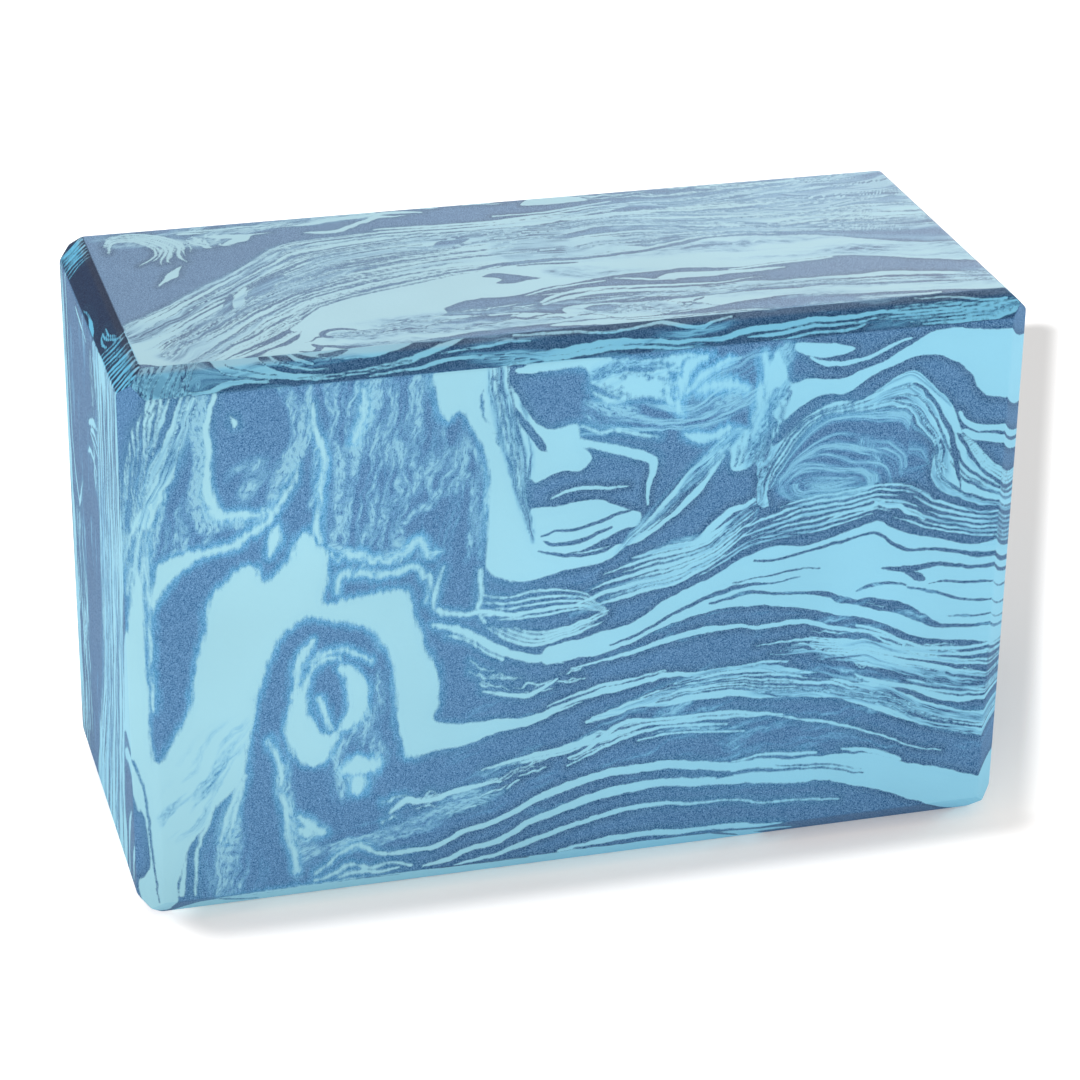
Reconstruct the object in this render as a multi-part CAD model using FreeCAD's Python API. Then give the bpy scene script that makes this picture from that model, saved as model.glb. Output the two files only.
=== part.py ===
"""A marbled foam yoga block: plies of slate and aqua foam pressed together into one chamfered block.

Millimetres, +Z up. The origin is the middle of the face that the block rests on, X runs along its length,
-Y is its front and +Y its back. Each ply is a wavy layer that runs along X and climbs from front to back.
Neighbouring plies meet face to face, as the pressed foam does.
"""
import FreeCAD, Part
import os

# Driving dimensions
BLOCK_LENGTH = 228.6
BLOCK_DEPTH = 101.6
BLOCK_HEIGHT = 148.0
EDGE_CHAMFER = 6.0
# How much higher a ply lies at the back face than at the front face
PLY_RISE = 60.0
# How far a ply's rough outline runs past the block before it is trimmed
TRIM_OVERRUN = 8.0

# Where each seam between two plies crosses the plane of the front face, at even steps along the length.
# The two lowest seams come out on the underside, so they follow the rise; the others follow the height.
UNDERSIDE_SEAM_RISE_SHARES = (
    ("base", (-0.57, -0.53, -0.48, -0.43, -0.43, -0.47, -0.52, -0.57, -0.60)),
    ("underside", (-0.13, -0.08, -0.05, -0.05, -0.07, -0.10, -0.15, -0.22, -0.27)),
)
FRONT_SEAM_HEIGHT_SHARES = (
    ("foot", (0.040, 0.047, 0.054, 0.068, 0.125, 0.135, 0.122, 0.064, 0.034)),
    ("lower", (0.095, 0.088, 0.101, 0.125, 0.179, 0.186, 0.176, 0.139, 0.081)),
    ("wide", (0.203, 0.216, 0.243, 0.277, 0.284, 0.307, 0.291, 0.220, 0.169)),
    ("streaked", (0.297, 0.304, 0.311, 0.324, 0.331, 0.358, 0.358, 0.304, 0.243)),
    ("middle", (0.392, 0.392, 0.392, 0.405, 0.412, 0.466, 0.456, 0.389, 0.358)),
    ("stream", (0.514, 0.500, 0.473, 0.459, 0.473, 0.527, 0.581, 0.578, 0.541)),
    ("striped", (0.635, 0.622, 0.595, 0.581, 0.581, 0.622, 0.676, 0.669, 0.628)),
    ("eye", (0.730, 0.716, 0.703, 0.676, 0.669, 0.696, 0.824, 0.865, 0.743)),
    ("arch", (0.797, 0.791, 0.784, 0.784, 0.797, 0.804, 0.858, 0.899, 0.811)),
    ("upper", (0.865, 0.865, 0.872, 0.878, 0.878, 0.872, 0.889, 0.932, 0.872)),
)

# The plies from the bottom up; each one ends at the seam of the same place in the two tables above
PLY_NAMES = (
    "slate_base_ply",
    "aqua_underside_ply",
    "slate_foot_ply",
    "aqua_lower_ply",
    "slate_wide_ply",
    "aqua_streaked_ply",
    "slate_middle_ply",
    "aqua_stream_ply",
    "slate_striped_ply",
    "aqua_eye_ply",
    "slate_arch_ply",
    "aqua_upper_ply",
    "slate_crown_ply",
)

FRONT_Y = -BLOCK_DEPTH / 2
TRIM_FRONT_Y = FRONT_Y - TRIM_OVERRUN
TRIM_LEFT_X = -BLOCK_LENGTH / 2 - TRIM_OVERRUN
TRIM_RIGHT_X = BLOCK_LENGTH / 2 + TRIM_OVERRUN
TRIM_LENGTH_Y = BLOCK_DEPTH + 2 * TRIM_OVERRUN
RISE_PER_DEPTH = PLY_RISE / BLOCK_DEPTH
FRONT_DROP = RISE_PER_DEPTH * TRIM_OVERRUN


def box_chamfered_along(axis):
    """The block's box with its four edges along one axis chamfered."""
    corner = FreeCAD.Vector(-BLOCK_LENGTH / 2, FRONT_Y, 0)
    box = Part.makeBox(BLOCK_LENGTH, BLOCK_DEPTH, BLOCK_HEIGHT, corner)
    edges = [edge for edge in box.Edges if round(abs(edge.tangentAt(0).dot(axis))) == 1]
    return box.makeChamfer(EDGE_CHAMFER, edges)


def chamfered_block():
    """The whole block: chamfers on all twelve edges, three of them meeting in a point at each corner."""
    along_length = box_chamfered_along(FreeCAD.Vector(1, 0, 0))
    along_depth = box_chamfered_along(FreeCAD.Vector(0, 1, 0))
    along_height = box_chamfered_along(FreeCAD.Vector(0, 0, 1))
    return along_length.common(along_depth).common(along_height)


def seam_points(heights):
    """Points of a seam on the trimming plane in front of the block, level past both ends of the block."""
    step = BLOCK_LENGTH / (len(heights) - 1)
    places = [(TRIM_LEFT_X, heights[0])]
    for index, height in enumerate(heights):
        places.append((-BLOCK_LENGTH / 2 + index * step, height))
    places.append((TRIM_RIGHT_X, heights[-1]))
    return [FreeCAD.Vector(x, TRIM_FRONT_Y, height - FRONT_DROP) for x, height in places]


def seam_edge(heights):
    """One smooth curve through a seam's points."""
    curve = Part.BSplineCurve()
    curve.interpolate(seam_points(heights))
    return curve.toShape()


def level_edge(height):
    """A straight outline below or above the whole block, for the first and the last ply."""
    left = FreeCAD.Vector(TRIM_LEFT_X, TRIM_FRONT_Y, height)
    right = FreeCAD.Vector(TRIM_RIGHT_X, TRIM_FRONT_Y, height)
    return Part.LineSegment(left, right).toShape()


def ply_outlines():
    """The outlines between which the plies lie, from under the block to over it."""
    seams = []
    for _, shares in UNDERSIDE_SEAM_RISE_SHARES:
        seams.append(seam_edge([share * PLY_RISE for share in shares]))
    for _, shares in FRONT_SEAM_HEIGHT_SHARES:
        seams.append(seam_edge([share * BLOCK_HEIGHT for share in shares]))
    under = level_edge(-PLY_RISE - FRONT_DROP - TRIM_OVERRUN)
    over = level_edge(BLOCK_HEIGHT + TRIM_OVERRUN)
    return [under] + seams + [over]


def rough_ply(lower, upper):
    """The layer between two outlines, carried from the front to the back along the ply's rise."""
    left = Part.LineSegment(lower.Vertexes[0].Point, upper.Vertexes[0].Point).toShape()
    right = Part.LineSegment(lower.Vertexes[-1].Point, upper.Vertexes[-1].Point).toShape()
    face = Part.Face(Part.Wire([lower, right, upper, left]))
    return face.extrude(FreeCAD.Vector(0, TRIM_LENGTH_Y, RISE_PER_DEPTH * TRIM_LENGTH_Y))


def main():
    """Trim every ply to the block and write it."""
    os.makedirs("parts", exist_ok=True)
    block = chamfered_block()
    outlines = ply_outlines()
    left_over = block.Volume
    for name, lower, upper in zip(PLY_NAMES, outlines[:-1], outlines[1:]):
        ply = block.common(rough_ply(lower, upper))
        ply.exportStep(f"parts/{name}.step")
        left_over -= ply.Volume
        print(f"{name}: {len(ply.Solids)} solid, {ply.Volume:.0f} mm3, valid {ply.isValid()}")
    print(f"block {block.Volume:.0f} mm3, of which no ply holds {left_over:.0f} mm3")


main()
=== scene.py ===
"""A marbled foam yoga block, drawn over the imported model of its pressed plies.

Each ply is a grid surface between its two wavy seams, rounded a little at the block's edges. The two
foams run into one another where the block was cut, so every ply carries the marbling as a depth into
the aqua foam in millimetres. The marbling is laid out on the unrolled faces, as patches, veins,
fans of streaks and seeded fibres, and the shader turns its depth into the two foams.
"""

from types import SimpleNamespace

import bpy
import numpy as np
from bpy.props import FloatProperty, FloatVectorProperty, PointerProperty
from mathutils import Matrix, Vector


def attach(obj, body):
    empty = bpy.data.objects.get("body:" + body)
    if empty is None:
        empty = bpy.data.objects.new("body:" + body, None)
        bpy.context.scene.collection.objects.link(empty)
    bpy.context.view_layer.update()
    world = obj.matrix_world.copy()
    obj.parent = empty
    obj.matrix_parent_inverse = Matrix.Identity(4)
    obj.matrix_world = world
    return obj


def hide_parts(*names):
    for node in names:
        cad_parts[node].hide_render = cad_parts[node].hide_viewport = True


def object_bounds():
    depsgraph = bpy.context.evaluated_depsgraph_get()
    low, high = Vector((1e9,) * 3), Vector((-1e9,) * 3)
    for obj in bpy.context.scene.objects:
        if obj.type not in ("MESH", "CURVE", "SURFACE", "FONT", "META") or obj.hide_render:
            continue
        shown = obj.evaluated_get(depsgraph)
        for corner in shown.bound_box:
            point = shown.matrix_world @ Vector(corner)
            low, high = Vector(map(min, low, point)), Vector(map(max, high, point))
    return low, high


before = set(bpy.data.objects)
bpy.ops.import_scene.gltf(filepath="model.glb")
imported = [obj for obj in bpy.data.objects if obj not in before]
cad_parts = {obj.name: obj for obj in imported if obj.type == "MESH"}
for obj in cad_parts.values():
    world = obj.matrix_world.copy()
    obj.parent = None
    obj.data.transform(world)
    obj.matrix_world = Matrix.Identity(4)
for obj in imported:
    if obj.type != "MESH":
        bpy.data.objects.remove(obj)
CAD_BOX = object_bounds()
CAD_SIZE = CAD_BOX[1] - CAD_BOX[0]

bl_info = {
    "name": "Marbled Yoga Block",
    "version": (1, 0, 0),
    "blender": (4, 5, 0),
    "location": "3D View > Sidebar > Yoga Block",
    "description": "Draws the pressed foam plies of a marbled yoga block and a plain stage for them",
    "category": "Add Mesh",
}

MM = 0.001
AQUA = 1.0
SLATE = -1.0
BOTH = 0.0
ROOT_TWO = np.sqrt(2.0)
# keeps a divisor off zero
TINY = 1e-9
# cells of the seeded noise each way before it repeats
LATTICE = 64
# points per span of a drawn line, and how far round a mark its depth is worked out in millimetres
SPAN_POINTS = 5
REACH = 3.0
# points along each line of a fan and along each fibre and its guides
FAN_POINTS = 12
FIBRE_POINTS = 9
GUIDE_POINTS = 24
# how blunt the ends of these lines are, in radians of a half wave
FAN_END = 0.06
FIBRE_END = 0.1
# spread of the fibres' lengths and widths, and how much of a fibre may start before or end past its guides
FIBRE_LENGTHS = (0.4, 1.3)
FIBRE_WIDTHS = (0.5, 1.4)
FIBRE_LAP = 0.3


def smooth_path(points, closed=False):
    """Curve through the points: each span is a cubic whose end slopes follow the chords beside it."""
    p = np.array(points, float)
    if closed:
        p = np.vstack([p[-1], p, p[0], p[1]])
    else:
        p = np.vstack([2 * p[0] - p[1], p, 2 * p[-1] - p[-2]])
    t = np.linspace(0, 1, SPAN_POINTS, endpoint=False)[None, :, None]
    a, b, c, d = (p[i:len(p) - 3 + i][:, None, :] for i in range(4))
    bend = (2 * a - 5 * b + 4 * c - d) * t ** 2 + (3 * b - a - 3 * c + d) * t ** 3
    curve = (b + 0.5 * ((c - a) * t + bend)).reshape(-1, p.shape[1])
    return curve if closed else np.vstack([curve, p[-2]])


def patch(foam, *points):
    """A closed patch of one foam, given by its outline."""
    return foam, True, smooth_path(points, True)


def strip(foam, low, high):
    """A patch of one foam between two guide lines."""
    return patch(foam, *low, *high[::-1])


def combed(share, feather, foam, low, high):
    """A haze between two guide lines, its streaks led by them."""
    return share, (low, high), feather, strip(foam, low, high)


def vein(foam, *points):
    """A streak of one foam along a line; each point is its place and the streak's half width."""
    path = smooth_path(points)
    path[:, 2] = np.maximum(path[:, 2], 0.0)
    return foam, False, path


def even_points(points, count):
    """Evenly spaced points along a guide line."""
    path = smooth_path(points)
    steps = np.linalg.norm(np.diff(path[:, :2], axis=0), axis=1)
    run = np.concatenate([[0], np.cumsum(steps)])
    at = np.linspace(0, run[-1], count)
    return np.stack([np.interp(at, run, path[:, k]) for k in range(2)], 1)


def between(low, high, share, along):
    """Points a share of the way from one guide line to the other, at shares of their length."""
    at = np.clip(along, 0, 1) * (len(low) - 1)
    index = np.arange(len(low))
    a, b = (np.stack([np.interp(at, index, line[:, k]) for k in range(2)], 1) for line in (low, high))
    return a + np.reshape(share, (-1, 1)) * (b - a)


def fan(foam, low, high, *lines):
    """Streaks between guide lines; each is a share from low to high, a half width, a start and an end."""
    a, b = even_points(low, FAN_POINTS), even_points(high, FAN_POINTS)
    taper = np.sqrt(np.sin(np.linspace(FAN_END, np.pi - FAN_END, FAN_POINTS)))
    marks = []
    for share, width, start, end in lines:
        places = between(a, b, share, np.linspace(start, end, FAN_POINTS))
        marks.append(vein(foam, *np.column_stack([places, width * taper])))
    return marks


def fibres(foam, seed, count, low, high, length=0.4, width=0.5, wander=0.02):
    """Seeded short streaks strewn between two guide lines and following them."""
    rng = np.random.default_rng(seed)
    a, b = even_points(low, GUIDE_POINTS), even_points(high, GUIDE_POINTS)
    taper = np.sin(np.linspace(FIBRE_END, np.pi - FIBRE_END, FIBRE_POINTS))
    marks = []
    for _ in range(count):
        share = rng.uniform(0, 1) + np.cumsum(rng.normal(0, wander, FIBRE_POINTS))
        size = length * rng.uniform(*FIBRE_LENGTHS)
        start = rng.uniform(-FIBRE_LAP * size, 1 - (1 - FIBRE_LAP) * size)
        places = between(a, b, share, np.linspace(start, start + size, FIBRE_POINTS))
        marks.append(vein(foam, *np.column_stack([places, width * rng.uniform(*FIBRE_WIDTHS) * taper])))
    return marks


LEFT_SPLASH = [
    # the big pale splash from the lower left corner up and over to the middle
    patch(AQUA, (4, 5), (2, 20), (0, 34), (3, 44), (6.5, 46), (9, 50), (12, 54.5), (14.5, 60), (15.5, 68),
        (18.5, 84), (21, 89.5), (24.5, 93.5), (28, 97), (31, 96.5), (32.5, 93), (34.5, 92.5), (37, 95),
        (39.5, 98), (41, 102), (43.5, 103.6), (46, 101), (48.3, 98), (48.6, 92), (47, 86.5), (48, 84),
        (55, 84.7), (62, 85.5), (68, 85.6), (70, 82), (72.3, 71), (74.5, 66), (76.3, 60), (76.3, 54),
        (74.5, 49.5), (78, 47.2), (88, 46.3), (100, 47), (110, 49), (104, 45.6), (91, 42.6), (84, 40.6),
        (76, 40.2), (71, 39.2), (68, 39.8), (66.3, 44), (65, 52), (65.2, 60), (65, 66), (60, 75.5),
        (53, 78.2), (44, 81.2), (40, 80), (37, 77), (35, 73), (31, 63), (28.6, 50), (28.2, 44), (27, 40),
        (24.5, 36), (20.5, 33), (18, 30), (12, 20), (9.5, 13), (7.5, 6)),
    # pale strip on the left edge beside the dark wedge
    vein(AQUA, (-1, 40, 3), (0, 60, 3.2), (1.5, 84, 1.6), (3, 95, 0.5), (4.2, 106, 0.2)),
    vein(AQUA, (4.6, 60, 0.2), (4.6, 95, 0.3), (4.6, 108, 0.3), (3.6, 112, 0.2)),
    # thin pale streaks under the splash
    vein(AQUA, (13.5, 7, 0.3), (14.3, 16, 0.5), (15.7, 24, 0.5), (17.5, 30, 0.7)),
    vein(AQUA, (20.5, 22, 0.2), (22, 28, 0.5), (26, 38, 0.8)),
    vein(AQUA, (22, 21, 0.2), (23.6, 26, 0.4), (27, 40, 0.6)),
    vein(AQUA, (10, 8, 0.8), (11.5, 20, 0.4), (13, 26, 0.8)),
]

LEFT_STREAMS = [
    # the pale fleck in the slate oval
    vein(AQUA, (26.4, 136.6, 0.2), (26.9, 135, 0.7), (27, 133.8, 0.2)),
    # pale patch and thin stream rising from the left edge along the oval's rim
    patch(AQUA, (5, 88), (7, 90), (9.5, 93.5), (13, 97), (17.5, 99.6), (20.5, 101.2), (17, 102), (9, 100.6),
        (6.8, 97)),
    vein(AQUA, (17, 100.5, 0.9), (25, 102.7, 0.7), (28.5, 104.6, 0.6), (35, 109.2, 0.6), (40.2, 118, 0.4),
        (41.5, 122, 0.2)),
    vein(AQUA, (34.6, 99, 0.3), (35.6, 102.5, 1.2), (36.5, 105.3, 0.9), (37, 107, 0.2)),
    # the rim of the slate oval
    vein(AQUA, (22.6, 143, 0.5), (20.4, 133, 0.7), (20, 127, 0.6), (19.6, 120, 0.8), (20.6, 115, 1.4),
        (22, 111.6, 0.9)),
    vein(AQUA, (20.4, 112, 0.8), (24, 110.4, 0.8), (28, 110.6, 0.8), (31.6, 110, 0.6), (34, 110.6, 0.2)),
    # diagonal stripes climbing off the left chamfer
    *fan(AQUA, ((-1, 84), (3, 104), (7, 117), (12, 128), (17, 142)), ((-4, 108), (-2, 120), (1, 130),
        (5, 138), (8, 146)), (0.06, 0.7, 0, 1), (0.22, 0.9, 0, 1), (0.36, 0.5, 0.1, 1), (0.5, 0.9, 0, 1),
        (0.62, 0.5, 0, 0.9), (0.72, 1, 0, 1), (0.86, 0.6, 0, 1), (0.97, 0.6, 0.1, 1)),
    vein(AQUA, (4.5, 109, 0.8), (7.5, 115, 1.3), (12.5, 127.5, 1.3), (17.5, 141, 0.9)),
    vein(SLATE, (11.5, 111, 1), (12.6, 118, 1.5), (13.8, 125, 1.4), (15.5, 132, 1.1), (16.3, 137, 0.4)),
    vein(SLATE, (6, 124, 0.4), (11, 136, 1), (12.5, 141, 0.9)),
]

CORNER_LINES = [
    # streams at the upper left corner, split by fine dark lines
    *fan(SLATE, ((-5.4, 143), (-5.4, 106), (-4.6, 90)), ((10.6, 143), (7.4, 127), (3.6, 112), (1.4, 100)),
        (0.04, 0.4, 0, 1), (0.13, 0.5, 0, 0.9), (0.22, 0.35, 0.1, 1), (0.31, 0.6, 0, 0.8),
        (0.4, 0.35, 0, 1), (0.5, 0.55, 0.1, 0.9), (0.6, 0.45, 0, 1), (0.7, 0.6, 0, 0.7), (0.8, 0.4, 0.1, 1),
        (0.9, 0.55, 0, 0.8), (0.97, 0.3, 0.2, 1)),
]

FIBROUS_FIELD = [
    # pale seam to the right of the oval
    vein(AQUA, (45.8, 137, 0.2), (46.2, 131, 0.6), (48.2, 126, 0.7), (48, 121.6, 0.6), (46.6, 116, 0.4),
        (47, 111, 0.3), (46, 105, 0.4), (46.6, 101.6, 0.5)),
    vein(AQUA, (57.8, 140, 0.3), (58.2, 136, 0.5), (57.6, 131, 0.4), (56, 127, 0.2)),
    # creases over the dark strip above the splash
    vein(AQUA, (50, 97.6, 0.1), (51.6, 95.4, 0.3), (53.4, 97, 0.3), (56, 95.8, 0.5), (58, 96.6, 0.3),
        (59.6, 94, 0.5), (61.6, 95, 0.3), (63.4, 93.6, 0.6), (66, 95.4, 0.5), (68, 95.2, 0.4),
        (70, 97.8, 0.6), (72.4, 98.4, 0.6), (73.4, 95.4, 0.3), (74.4, 93.4, 0.3), (76, 95.4, 0.1)),
    vein(AQUA, (51, 86.4, 0.2), (51.8, 90.6, 0.5), (53.4, 91.8, 0.3), (55.4, 90.6, 0.2), (57.6, 91.4, 0.4),
        (60, 89.6, 0.3), (62.6, 90.4, 0.4), (66, 90.4, 0.5), (69.6, 91.6, 0.5), (71.6, 90.6, 0.5),
        (72.4, 88, 0.4), (73.8, 88.6, 0.4), (74.2, 85, 0.3), (73.6, 82, 0.1)),
    vein(AQUA, (75.4, 80, 0.3), (76, 86, 0.5), (77, 91, 0.3)),
]

RING = [
    # the dark ring with its pale heart
    vein(AQUA, (44.6, 74.6, 0.3), (42.5, 71.6, 0.9), (40.8, 68, 0.8), (40.2, 64, 0.6), (39.6, 60, 1)),
    patch(AQUA, (40.8, 63), (39, 58), (37.8, 53), (38.2, 48.5), (42, 41.3), (45, 40), (48, 41.5), (50, 45),
        (50.5, 48.5), (48.6, 47.8), (46.6, 48.6), (44.6, 50.6), (43.3, 54), (42.6, 58.5)),
    vein(AQUA, (41.6, 60, 0.8), (43, 64.5, 0.7), (45, 67.6, 0.6), (48, 69.4, 0.5), (51, 69.4, 0.4)),
    vein(AQUA, (44, 68, 0.3), (48, 70.8, 0.5), (52, 71.3, 0.4), (55.6, 69.7, 0.5), (59, 67.6, 0.3)),
    patch(AQUA, (51, 66.5), (53.5, 66.6), (58, 61.5), (57.8, 57), (56.8, 52.6), (54, 49.8), (51.2, 48.7),
        (51.6, 51.5), (53, 54.5), (52.4, 62.6)),
    vein(AQUA, (45.6, 58, 0.3), (46.6, 54.6, 0.6), (49, 49.6, 0.3)),
    patch(AQUA, (52, 36.6), (53, 39), (55.6, 41), (60.4, 39.3), (60.6, 37), (58, 36), (55, 35.8)),
    patch(AQUA, (54, 31.6), (54.6, 34.2), (56.6, 35.8), (58, 33.6), (57.2, 31), (55.4, 30.2)),
    vein(AQUA, (33.6, 49, 0.2), (35, 46, 0.5), (36.2, 42.5, 0.5), (36.6, 38, 0.6), (36, 34, 0.2)),
    vein(AQUA, (36.2, 33, 0.3), (37.2, 29.6, 0.8), (37.6, 25, 0.6), (37.2, 20, 0.5), (38.8, 15.5, 0.6),
        (39.4, 11, 0.3)),
    vein(AQUA, (40.4, 26, 0.3), (42, 24.2, 0.9), (44.4, 22, 0.8), (46.8, 20.8, 0.3)),
    vein(AQUA, (40.6, 22.5, 0.6), (42.4, 21.4, 0.9), (44, 21, 0.4)),
]

LOWER_FIELD = [
    # soft wisps in the dark field and the thin streams that climb to the right
    vein(AQUA, (63.5, 24, 0.2), (68, 27, 1), (71, 26.4, 0.8), (76, 26.6, 0.7), (81, 28.2, 0.8),
        (92, 29, 0.3)),
    vein(AQUA, (87, 32.6, 0.15), (92, 33.4, 0.4), (103, 35.6, 0.6), (108, 36.3, 0.9), (117, 38.8, 0.7)),
    vein(AQUA, (96, 33, 0.15), (102, 34.2, 0.4), (108, 35, 0.4), (113, 36.4, 0.3)),
    *fibres(AQUA, 31, 16, ((62, 19), (80, 22), (104, 31)), ((62, 27), (84, 31), (108, 37)), 0.22, 0.22,
        0.05),
    vein(AQUA, (44, 9.6, 0.2), (47, 11.6, 0.4), (54, 15.2, 0.5), (58, 14, 0.7), (62, 12.6, 0.6),
        (74, 12, 0.7), (84, 16, 0.7), (97, 19.6, 0.9), (104, 23.2, 1), (119, 27, 1.1), (128, 27.4, 1.2),
        (138, 27.2, 1.2), (157, 24.8, 1.2), (178, 23, 1.2)),
    vein(AQUA, (72, 6.8, 0.3), (78, 8, 0.7), (84, 10.6, 0.7), (92, 12, 0.8), (108, 18.6, 1), (122, 22, 1.2),
        (139, 22.3, 1.1), (166, 19.8, 1.2)),
    vein(AQUA, (81, 6.4, 0.3), (96, 9, 0.7), (120, 15.6, 0.7), (128, 16.8, 0.7), (136, 16.4, 0.5),
        (152, 15.4, 0.3), (163, 13.2, 0.25), (170, 12.4, 0.25), (184, 11.3, 0.2)),
    vein(AQUA, (44, 7.4, 0.3), (49, 8.4, 0.5), (53, 10, 0.4), (58, 8.6, 0.5), (64, 9.6, 0.35),
        (69, 7.6, 0.4)),
    vein(AQUA, (50, 7, 0.3), (56, 7.6, 0.6), (61, 7.2, 0.5), (66, 7.6, 0.3)),
    vein(AQUA, (108, 6, 0.4), (116, 7, 0.7), (124, 8.5, 0.8), (132, 8.7, 0.8), (140, 7.8, 0.8),
        (149, 7.5, 0.7), (156, 7, 1), (163, 6.2, 0.9), (168, 5.6, 0.3)),
    # the pale strip along the lower edge
    vein(AQUA, (20, 4.4, 0.4), (35, 4.8, 1.1), (60, 4.2, 1.6), (115, 3.2, 2.4), (135, 4, 2.4), (152, 3, 2),
        (164, 1.8, 1.2), (172, 0.4, 0.4)),
    vein(SLATE, (112, 6, 0.3), (131, 6.8, 0.5), (150, 5.2, 0.4), (154, 4.6, 0.2)),
    vein(SLATE, (24, 5.7, 0.2), (40, 6.3, 0.4), (100, 5.2, 0.25)),
    vein(SLATE, (50, 5, 0.1), (58, 5.3, 0.35), (66, 4.4, 0.2)),
]

LOWER_BANDS = [
    # the pale band that widens into the lower right corner
    patch(AQUA, (152, 26.4), (162, 25.6), (172, 25), (190, 24.3), (200, 20.4), (206, 18.2), (212, 16.6),
        (223, 12.4), (227, 9), (229, 4.4), (222, 3.4), (208, 6.6), (190, 14.2), (175, 17.4), (167, 18),
        (158, 19.4), (154, 22.6)),
    vein(SLATE, (150, 22.8, 0.6), (158, 22.9, 0.5), (166, 22, 0.4), (174, 21.6, 0.35), (190, 18.6, 0.2)),
    vein(SLATE, (166, 23.3, 0.15), (176, 22.4, 0.3), (189, 20, 0.1)),
    vein(AQUA, (153, 26.8, 0.2), (168, 26.7, 0.5), (176, 26, 0.5)),
    vein(AQUA, (183, 26.3, 0.2), (186, 25.8, 0.5), (190, 25.2, 0.6), (200, 20.8, 0.5)),
    # threads in the wide dark band
    vein(AQUA, (128, 36.2, 0.15), (138, 36, 0.3), (157, 34.9, 0.2)),
    vein(AQUA, (164, 38.6, 0.2), (173, 35.6, 0.35), (180, 34.4, 0.4), (192, 29.6, 0.25), (197, 26.6, 0.25),
        (203, 24, 0.2), (211, 22, 0.15)),
    # wisps above it
    vein(AQUA, (110, 33.4, 0.3), (115, 35.6, 0.5), (123, 41, 0.6), (129, 41.7, 0.6), (137, 41.2, 0.5),
        (155, 40.2, 0.5), (162, 39.3, 0.5), (167, 38.2, 0.2)),
    vein(AQUA, (111, 36.6, 0.3), (118, 37.6, 0.6), (124, 39.2, 0.7), (131, 40.2, 0.5), (139, 39.6, 0.6),
        (161, 39, 0.3)),
    vein(AQUA, (110, 31, 0.2), (121, 36.3, 0.4), (127, 38, 0.5), (135, 38.4, 0.4), (144, 37.8, 0.4),
        (152, 37.5, 0.2)),
    vein(AQUA, (132, 37.2, 0.1), (150, 36.4, 0.15)),
    *fibres(AQUA, 41, 14, ((110, 33), (126, 38), (160, 38)), ((112, 39), (126, 42), (162, 40)), 0.25, 0.22,
        0.05),
]

STREAKED_BAND = [
    # the streaky pale band with fine dark lines
    patch(AQUA, (117, 43.2), (124, 45.4), (132, 45.6), (162, 44.2), (180, 41.2), (186, 39.2), (199, 32.8),
        (214, 27.4), (224, 24.8), (224, 31), (216, 33.4), (203, 38.4), (191, 44.8), (185, 47), (178, 48.4),
        (163, 52.6), (147, 52.8), (139, 51.4), (125, 47.2)),
    *fan(SLATE, ((122, 46), (142, 46.4), (160, 45.2), (172, 43.4), (186, 40), (199, 33.8), (210, 29.4),
        (224, 25.6)), ((124, 47), (142, 52.6), (160, 52.4), (186, 46.4), (210, 35.2), (224, 30.6)),
        (0.18, 0.3, 0.05, 0.7), (0.3, 0.25, 0.1, 0.9), (0.42, 0.35, 0.25, 0.8), (0.52, 0.25, 0.05, 0.45),
        (0.2, 0.45, 0.62, 1), (0.4, 0.3, 0.6, 1), (0.62, 0.4, 0.02, 0.3), (0.66, 0.4, 0.3, 0.55),
        (0.8, 0.35, 0.1, 0.4), (0.85, 0.3, 0.4, 0.62), (0.62, 0.25, 0.55, 0.8)),
    vein(AQUA, (92, 44.6, 0.8), (100, 46.2, 0.9), (107, 47.4, 0.8), (120, 51.2, 1), (128, 52.6, 0.7),
        (145, 53.6, 0.6), (168, 53.2, 0.3)),
    vein(AQUA, (104, 48.6, 0.2), (120, 53, 0.5), (128, 54.2, 0.3), (135, 54.4, 0.2)),
    vein(SLATE, (108, 47.6, 0.1), (116, 49.2, 0.35), (126, 50.4, 0.5), (134, 50.2, 0.4), (140, 50.6, 0.2)),
    vein(AQUA, (115, 42.6, 0.4), (120, 44, 0.9), (126, 46.2, 1.2), (132, 47.4, 1)),
    vein(SLATE, (172, 48.8, 0.3), (177, 48, 0.9), (183, 46.9, 0.7), (188, 45.4, 0.3)),
]

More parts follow.
